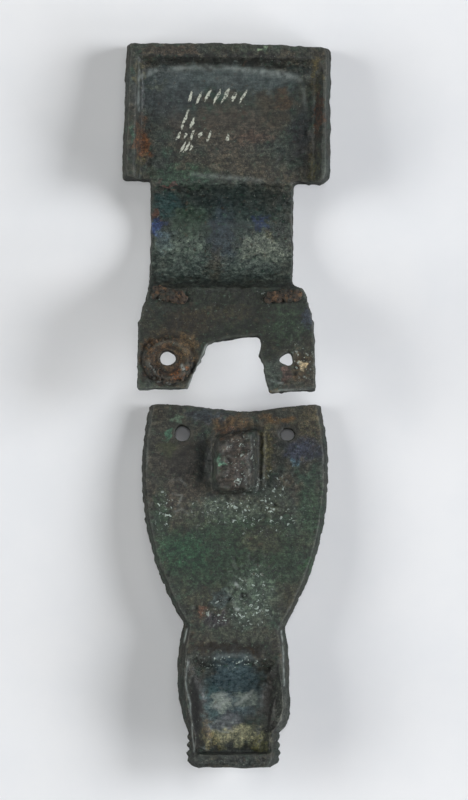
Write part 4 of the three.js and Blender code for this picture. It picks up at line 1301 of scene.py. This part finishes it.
def painted_steep_shade(wiring, across, upward):
    """The mask of flanks that face left or right, and of steep places: where shade is painted."""
    flank = wiring.ramp(wiring.math("ABSOLUTE", across), 0.25, 0.75)
    steep = wiring.ramp(wiring.math("ABSOLUTE", upward), 0.7, 0.2)
    return wiring.math("MULTIPLY", wiring.math("MAXIMUM", flank, steep), 0.9)


print("grey-green of the ground:", [round(part, 3) for part in pigment(GREY_GREEN)[:3]])

# %% Cracks, specks and paint
CRACK, DARK_SPECK, PALE_SPECK = (30, 34, 32), (26, 30, 29), (150, 160, 146)
CROWDED_SPECK, PAINT = (166, 180, 172), (188, 192, 178)


def crack_mask(wiring, at, lively):
    cells = group_mask(wiring, crackle_group, at["bent"], scale=1.9, width=0.09)
    some = wiring.math("MULTIPLY", cells, mottle(wiring, at["true"], 0.6, 0.42, 0.6))
    return wiring.math("MULTIPLY", some, lively)


def specked(wiring, at, colour, lively, crowd):
    """Dark specks, pale specks everywhere, and pale clumps where the specks crowd."""
    place, torn = at["true"], at["torn"]
    dark = flecks(wiring, wiring.vector("ADD", place, (5, 11, 2)), 4.2, 0.42)
    dark = wiring.math("MULTIPLY", dark, lively)
    everywhere = flecks(wiring, place, 3.4, 0.4)
    small, large = flecks(wiring, torn, 2.4, 0.62), flecks(wiring, torn, 1.3, 0.6)
    clumps = wiring.math("MAXIMUM", small, large)
    clumps = wiring.math("MULTIPLY", clumps, mottle(wiring, place, 1.4, 0.42, 0.56))
    crowded = wiring.math("MULTIPLY", clumps, crowd)
    colour = wiring.mix(wiring.math("MULTIPLY", dark, 0.6), colour, pigment(DARK_SPECK))
    colour = wiring.mix(wiring.math("MULTIPLY", everywhere, 0.55), colour, pigment(PALE_SPECK))
    colour = wiring.mix(wiring.math("MULTIPLY", crowded, 0.85), colour, linear(CROWDED_SPECK))
    return colour, wiring.math("MAXIMUM", crowded, everywhere)


def painted(wiring, at, colour, dabs, on_back):
    """Worn dabs of paint, broken up by a mottle."""
    mask = wiring.math("MULTIPLY", dab_mask(wiring, at["shaky"], dabs), on_back)
    mask = wiring.math("MULTIPLY", mask, mottle(wiring, at["true"], 3.2, 0.36, 0.54))
    return wiring.mix(wiring.math("MULTIPLY", mask, 0.95), colour, linear(PAINT))


print("colour of a crack:", [round(part, 4) for part in pigment(CRACK)[:3]])

# %% Materials and their relief
BUMP_HEIGHT = 0.00008


def new_material(name):
    """An empty material and the wiring of its node tree."""
    material = bpy.data.materials.new(name)
    material.use_nodes = True
    material.node_tree.nodes.clear()
    return material, Wiring(material.node_tree)


def finish_material(wiring, values):
    """Adds the Principled shader and the output."""
    shader = wiring.add("ShaderNodeBsdfPrincipled", values)
    out = wiring.add("ShaderNodeOutputMaterial")
    wiring.tree.links.new(shader.outputs[0], out.inputs[0])


def relief(wiring, fine, grain, pale, cracks, lively):
    """Specks stand up and cracks lie low on a grained skin."""
    height = wiring.math("MULTIPLY", fine, 0.5)
    height = wiring.math("ADD", height, wiring.math("MULTIPLY", grain, 0.3))
    height = wiring.math("ADD", height, wiring.math("MULTIPLY", pale, 0.6))
    height = wiring.math("SUBTRACT", height, wiring.math("MULTIPLY", cracks, 0.5))
    height = wiring.math("MULTIPLY", height, lively)
    bump = {"Strength": 0.8, "Distance": BUMP_HEIGHT, "Height": height}
    return wiring.add("ShaderNodeBump", bump).outputs[0]


print("the relief is", round(BUMP_HEIGHT / MM, 2), "mm high")

# %% [markdown]
# The whole patina
#
# The layers are laid in order, from the ground upwards, and end in one Principled shader. Both
# castings use the same recipe with their own lists.

# %% Build the patina


def build_patina(name, stains, calm_ovals, speck_ovals, dabs=()):
    material, wiring = new_material(name)
    at = patina_places(wiring)
    facing = wiring.add("ShaderNodeTexCoord").outputs["Normal"]
    across, _, upward = wiring.add("ShaderNodeSeparateXYZ", {0: facing}).outputs
    on_back = wiring.ramp(upward, -0.3, 0.0)
    lively = wiring.ramp(oval_union(wiring, at["ragged"], calm_ovals), 0, 1, 1.0, 0.45)
    fine = mottle(wiring, at["true"], 2.2, 0.32, 0.68)
    grain = mottle(wiring, at["true"], 5.5, 0.3, 0.7)

    ground = ground_colour(wiring, at["true"])
    stained, roughness = stain_chain(wiring, at["ragged"], ground, 0.55, stains)
    colour = wiring.mix(on_back, ground, stained)
    colour = mottled(wiring, at, colour, lively, fine, grain)
    colour = handled(wiring, colour)
    painted_shade = painted_steep_shade(wiring, across, upward)
    # Painted shade: flanks and steep places are darkened in the colour, and made rougher
    colour = wiring.mix(painted_shade, colour, PAINTED_SHADE_TINT, "MULTIPLY")
    # Pale mineral lines and painted highlights, from the stored "bloom" attribute
    colour = wiring.mix(attribute(wiring, "bloom"), colour, pigment(PALE_LINE_AND_HIGHLIGHT))
    cracks = crack_mask(wiring, at, lively)
    colour = wiring.mix(wiring.math("MULTIPLY", cracks, 0.6), colour, pigment(CRACK))
    crowd = wiring.math("MULTIPLY", oval_union(wiring, at["ragged"], speck_ovals), on_back)
    colour, pale = specked(wiring, at, colour, lively, crowd)
    if dabs:
        colour = painted(wiring, at, colour, dabs, on_back)

    roughness = wiring.math("ADD", roughness, wiring.ramp(fine, 0, 1, -0.12, 0.12), clamp=True)
    roughness = wiring.math("MAXIMUM", roughness, painted_shade, clamp=True)
    finish_material(
        wiring,
        {
            "Base Color": colour,
            "Roughness": roughness,
            "Metallic": 0.0,
            "IOR": 1.45,
            "Normal": relief(wiring, fine, grain, pale, cracks, lively),
        },
    )
    print(name, "has", len(wiring.tree.nodes), "nodes")
    return material


patina_head = build_patina("patina_of_the_head", head_stains, head_calm, head_specks, paint_dabs)
patina_foot = build_patina("patina_of_the_foot", foot_stains, foot_calm, foot_specks)

# %% [markdown]
# Rust
#
# Iron leaves a crust with no colour of its own but many browns: near black where it is dense,
# ochre where it is powder. The crust is the dullest surface on the brooch.

# %% Build the rust
OLIVE_RUST, BROWN_RUST, OCHRE_RUST = (70, 72, 62), (86, 70, 54), (132, 100, 68)
BLACK_RUST, RUST_DUST = (32, 30, 28), (140, 134, 118)


def build_rust(name):
    material, wiring = new_material(name)
    place = millimetre_place(wiring)
    two_browns = mottle(wiring, place, 0.5, 0.42, 0.58)
    colour = wiring.mix(two_browns, pigment(OLIVE_RUST), pigment(BROWN_RUST))
    colour = wiring.mix(mottle(wiring, place, 1.2, 0.5, 0.62), colour, pigment(OCHRE_RUST))
    colour = wiring.mix(mottle(wiring, place, 2.2, 0.5, 0.64), colour, pigment(BLACK_RUST))
    dust = wiring.math("MULTIPLY", flecks(wiring, place, 3.4, 0.4), 0.5)
    colour = wiring.mix(dust, colour, pigment(RUST_DUST))
    grain = mottle(wiring, place, 8.0, 0.3, 0.7)
    roughness = wiring.ramp(grain, 0, 1, 0.72, 0.95)
    bump = wiring.add("ShaderNodeBump", {"Strength": 0.8, "Distance": 0.0001, "Height": grain})
    values = {"Base Color": colour, "Roughness": roughness, "Normal": bump.outputs[0]}
    finish_material(wiring, values)
    print(name, "has", len(wiring.tree.nodes), "nodes")
    return material


rust = build_rust("crusted_rust")

# %% [markdown]
# Crust along a path
#
# A crust grows as many small lumps that run together. Modelling each lump by hand would be slow
# and would look drawn. Geometry Nodes can do it by rule: take a path, scatter lumps of random
# size along it, melt them into one body through a volume, and roughen the result. The same tree
# makes the two iron lumps at the root of the bow and the broken ring of rust round a rivet hole.

# %% The crust tree


def crust_sockets(tree):
    """The named inputs and the output of the tree."""
    face = tree.interface
    face.new_socket("Path", in_out="INPUT", socket_type="NodeSocketGeometry")
    for label, kind, value in [
        ("Lumps", "NodeSocketInt", 60),
        ("Spread", VECTOR, (0.5, 0.5, 0.2)),
        ("Smallest", FLOAT, 0.2),
        ("Largest", FLOAT, 0.5),
        ("Seed", "NodeSocketInt", 1),
    ]:
        face.new_socket(label, in_out="INPUT", socket_type=kind).default_value = value
    face.new_socket("Material", in_out="INPUT", socket_type="NodeSocketMaterial")
    face.new_socket("Crust", in_out="OUTPUT", socket_type="NodeSocketGeometry")


def scattered_lumps(w, given):
    """Lumps of random size, tossed a little off evenly spaced points of the path."""
    curve = w.add("GeometryNodeMeshToCurve", {0: given["Path"]})
    dots = w.add(
        "GeometryNodeCurveToPoints",
        {"Curve": curve.outputs[0], "Count": given["Lumps"]},
        mode="COUNT",
    )
    toss = w.add(
        "FunctionNodeRandomValue",
        {0: (-1, -1, -1), 1: (1, 1, 1), "Seed": given["Seed"]},
        data_type="FLOAT_VECTOR",
    )
    shift = w.vector("MULTIPLY", toss.outputs[0], given["Spread"])
    moved = w.add("GeometryNodeSetPosition", {"Geometry": dots.outputs[0], "Offset": shift})
    lump = w.add("GeometryNodeMeshIcoSphere", {"Radius": 1.0, "Subdivisions": 3})
    other = w.math("ADD", given["Seed"], 1)
    size = w.add(
        "FunctionNodeRandomValue",
        {2: given["Smallest"], 3: given["Largest"], "Seed": other},
        data_type="FLOAT",
    )
    placed = w.add(
        "GeometryNodeInstanceOnPoints",
        {"Points": moved.outputs[0], "Instance": lump.outputs[0], "Scale": size.outputs[1]},
    )
    return w.add("GeometryNodeRealizeInstances", {0: placed.outputs[0]}).outputs[0]


def melted(w, lumps):
    """One body made of the lumps through a volume, with grit on its skin."""
    volume = w.add(
        "GeometryNodeMeshToVolume",
        {"Mesh": lumps, "Voxel Size": 0.08, "Interior Band Width": 0.3},
        resolution_mode="VOXEL_SIZE",
    )
    body = w.add(
        "GeometryNodeVolumeToMesh",
        {"Volume": volume.outputs[0], "Voxel Size": 0.09, "Threshold": 0.1},
        resolution_mode="VOXEL_SIZE",
    )
    here = w.add("GeometryNodeInputPosition")
    grit = w.add("ShaderNodeTexNoise", {"Vector": here.outputs[0], "Scale": 3.0, "Detail": 4.0})
    push = w.vector("SUBTRACT", grit.outputs["Color"], (0.5, 0.5, 0.5))
    offset = w.vector("MULTIPLY", push, (0.35, 0.35, 0.35))
    rough_body = w.add(
        "GeometryNodeSetPosition", {"Geometry": body.outputs[0], "Offset": offset}
    )
    return rough_body.outputs[0]


def crust_tree():
    """The whole tree: lumps on the path, one body, its material."""
    tree = bpy.data.node_groups.new("Crust along a path", "GeometryNodeTree")
    tree.is_modifier = True
    crust_sockets(tree)
    w = Wiring(tree)
    given = w.add("NodeGroupInput").outputs
    body = melted(w, scattered_lumps(w, given))
    dressed = w.add(
        "GeometryNodeSetMaterial", {"Geometry": body, "Material": given["Material"]}
    )
    joined = w.add("GeometryNodeRealizeInstances", {0: dressed.outputs[0]})
    out = w.add("NodeGroupOutput")
    tree.links.new(joined.outputs[0], out.inputs["Crust"])
    return tree


crust_nodes = crust_tree()
print(crust_nodes.name, "has", len(crust_nodes.nodes), "nodes")

# %% Run the tree on a path


def run_tree(tree, carrier, values):
    """Runs a tree on a carrier object and turns the result into a plain mesh."""
    modifier = carrier.modifiers.new("made", "NODES")
    modifier.node_group = tree
    sockets = {s.name: s.identifier for s in tree.interface.items_tree if s.in_out == "INPUT"}
    for label, value in values.items():
        modifier[sockets[label]] = value
    ready = bpy.context.evaluated_depsgraph_get()
    mesh = bpy.data.meshes.new_from_object(carrier.evaluated_get(ready))
    carrier.modifiers.remove(modifier)
    carrier.data = mesh
    return carrier


def crust(name, path, values):
    """A crust along a few points given in millimetres."""
    line = bpy.data.meshes.new(name)
    line.from_pydata([tuple(p) for p in path], [(i, i + 1) for i in range(len(path) - 1)], [])
    carrier = bpy.data.objects.new(name, line)
    bpy.context.scene.collection.objects.link(carrier)
    made = run_tree(crust_nodes, carrier, {**values, "Material": rust})
    print(name, "crust:", len(made.data.polygons), "faces")
    return made


print("inputs of the tree:", [s.name for s in crust_nodes.interface.items_tree])

# %% [markdown]
# Iron on the back
#
# Both iron lumps sit at the root of the bow, and the ring of rust lies round the left rivet
# hole, open at its upper right. Their paths run over the back of the lug plate, whose height
# at a place in the view follows from the frame of the casting.

# %% Iron lumps and the rust ring


def on_lug_plate(px, py, above=0.0):
    """A point on the back of the lug plate below a place in the view."""
    x, y = seen(px, py)
    _, oy, oz = head_rest.origin
    own_z = above - BACK_DROP
    own_y = (y - oy - own_z * head_rest.sin) / head_rest.cos
    return (x, y, oz - own_y * head_rest.sin + own_z * head_rest.cos)


left_lump = crust(
    "iron_remnant_left_crust",
    [on_lug_plate(158, 292, 0.15), on_lug_plate(172, 296, 0.3), on_lug_plate(184, 300, 0.05)],
    {"Lumps": 110, "Spread": (0.45, 0.55, 0.12), "Smallest": 0.25, "Largest": 0.52, "Seed": 4},
)
right_lump = crust(
    "iron_remnant_right_crust",
    [on_lug_plate(269, 298, 0.1), on_lug_plate(284, 296, 0.25), on_lug_plate(299, 296, 0.2)],
    {"Lumps": 110, "Spread": (0.4, 0.45, 0.14), "Smallest": 0.22, "Largest": 0.5, "Seed": 9},
)
ring_line = [on_lug_plate(px, py, 0.05) for px, py in ring_path(*LEFT_HOLE, 20)[:-4]]
ring = crust(
    "rust_ring",
    ring_line,
    {"Lumps": 110, "Spread": (0.55, 0.55, 0.05), "Smallest": 0.08, "Largest": 0.24, "Seed": 21},
)

# %% [markdown]
# The five pieces
#
# Both castings and both lumps stand for one node each. The ring of rust is a thin crust that the
# measured solids don't have, so it stands for none.

# %% Finish the pieces
finish_piece(head, "head_fragment_bronze", patina_head, ["head_fragment"])
finish_piece(foot, "foot_fragment_bronze", patina_foot, ["foot_fragment"])
finish_piece(left_lump, "iron_left", rust, ["iron_remnant_left"])
finish_piece(right_lump, "iron_right", rust, ["iron_remnant_right"])
finish_piece(ring, "rust_ring_left_hole", rust)

# %% [markdown]
# Floor, light and camera
#
# The brooch lies on pale board. Soft lights stand low on both sides, as on a copy stand, and the
# right ones are the stronger: they give the wide soft shadows. A weak light high behind the
# brooch gives the hollows their sheen, and a small one overhead shows the floor through the
# holes. The camera has a long lens, so the brooch is seen almost without perspective.

# %% Floor
FLOOR_HALF_SIDE = 1.5
FLOOR_DIM, FLOOR_BRIGHT = (228, 230, 233), (233, 234, 236)


def build_floor():
    mesh = bpy.data.meshes.new("pale_board")
    far = FLOOR_HALF_SIDE
    corners = [(-far, -far, 0), (far, -far, 0), (far, far, 0), (-far, far, 0)]
    mesh.from_pydata(corners, [], [(0, 1, 2, 3)])
    board = bpy.data.objects.new("pale_board", mesh)
    bpy.context.scene.collection.objects.link(board)
    material = bpy.data.materials.new("pale_board")
    material.use_nodes = True
    wiring = Wiring(material.node_tree)
    shader = material.node_tree.nodes["Principled BSDF"]
    shader.inputs["Roughness"].default_value = 0.9
    place = millimetre_place(wiring)
    cloud = mottle(wiring, place, 0.05, 0.3, 0.7)
    colour = wiring.mix(cloud, linear(FLOOR_DIM), linear(FLOOR_BRIGHT))
    wiring.tree.links.new(colour, shader.inputs["Base Color"])
    mesh.materials.append(material)
    print("floor", round(2 * far, 1), "m wide")


build_floor()

# %% Lights
COOL, WARM, WHITE = (0.97, 0.98, 1.0), (1.0, 1.0, 0.98), (1.0, 1.0, 1.0)


def area_light(name, azimuth, elevation, size, power, colour):
    """A round soft light one metre away, aimed at the brooch."""
    data = bpy.data.lights.new(name, "AREA")
    data.shape = "DISK"
    data.size = size
    data.energy = power
    data.color = colour
    light = bpy.data.objects.new(name, data)
    turn, rise = math.radians(azimuth), math.radians(elevation)
    towards = Vector(
        (math.cos(turn) * math.cos(rise), math.sin(turn) * math.cos(rise), math.sin(rise))
    )
    light.location = towards
    light.rotation_mode = "QUATERNION"
    light.rotation_quaternion = (-towards).to_track_quat("-Z", "Y")
    bpy.context.scene.collection.objects.link(light)


# name, azimuth and elevation in degrees, width in metres, watts, colour
lights = [
    ("right_low", -22, 13, 0.5, 7.6, COOL),
    ("right", 8, 26, 0.5, 9.4, COOL),
    ("left_low", 190, 12, 0.5, 6.0, WARM),
    ("left", 167, 27, 0.5, 5.0, WARM),
    ("behind", 70, 56, 0.3, 0.7, WHITE),
    ("overhead", 80, 86, 0.2, 1.0, WHITE),
]
for light in lights:
    area_light(*light)
world = bpy.data.worlds.new("soft_room")
world.use_nodes = True
world.node_tree.nodes["Background"].inputs[0].default_value = (0.93, 0.96, 1.0, 1)
world.node_tree.nodes["Background"].inputs[1].default_value = 0.02
bpy.context.scene.world = world
bpy.context.scene.view_settings.view_transform = "Standard"
print(len(lights), "lights,", round(sum(light[4] for light in lights), 1), "W in all")

# %% Camera
VIEW_WIDE, VIEW_TALL = 468, 800
CAMERA_HEIGHT, BROOCH_HEIGHT, SENSOR = 0.9, 0.006, 36
camera_data = bpy.data.cameras.new("camera")
camera_data.sensor_width = SENSOR
camera_data.lens = SENSOR * (CAMERA_HEIGHT - BROOCH_HEIGHT) / (VIEW_TALL * PIXEL * MM)
camera_data.clip_start, camera_data.clip_end = 0.05, 10
camera = bpy.data.objects.new("camera", camera_data)
middle = seen(VIEW_WIDE / 2, VIEW_TALL / 2)
camera.location = (middle[0] * MM, middle[1] * MM, CAMERA_HEIGHT)
bpy.context.scene.collection.objects.link(camera)
bpy.context.scene.camera = camera
print("lens", round(camera_data.lens, 1), "mm")
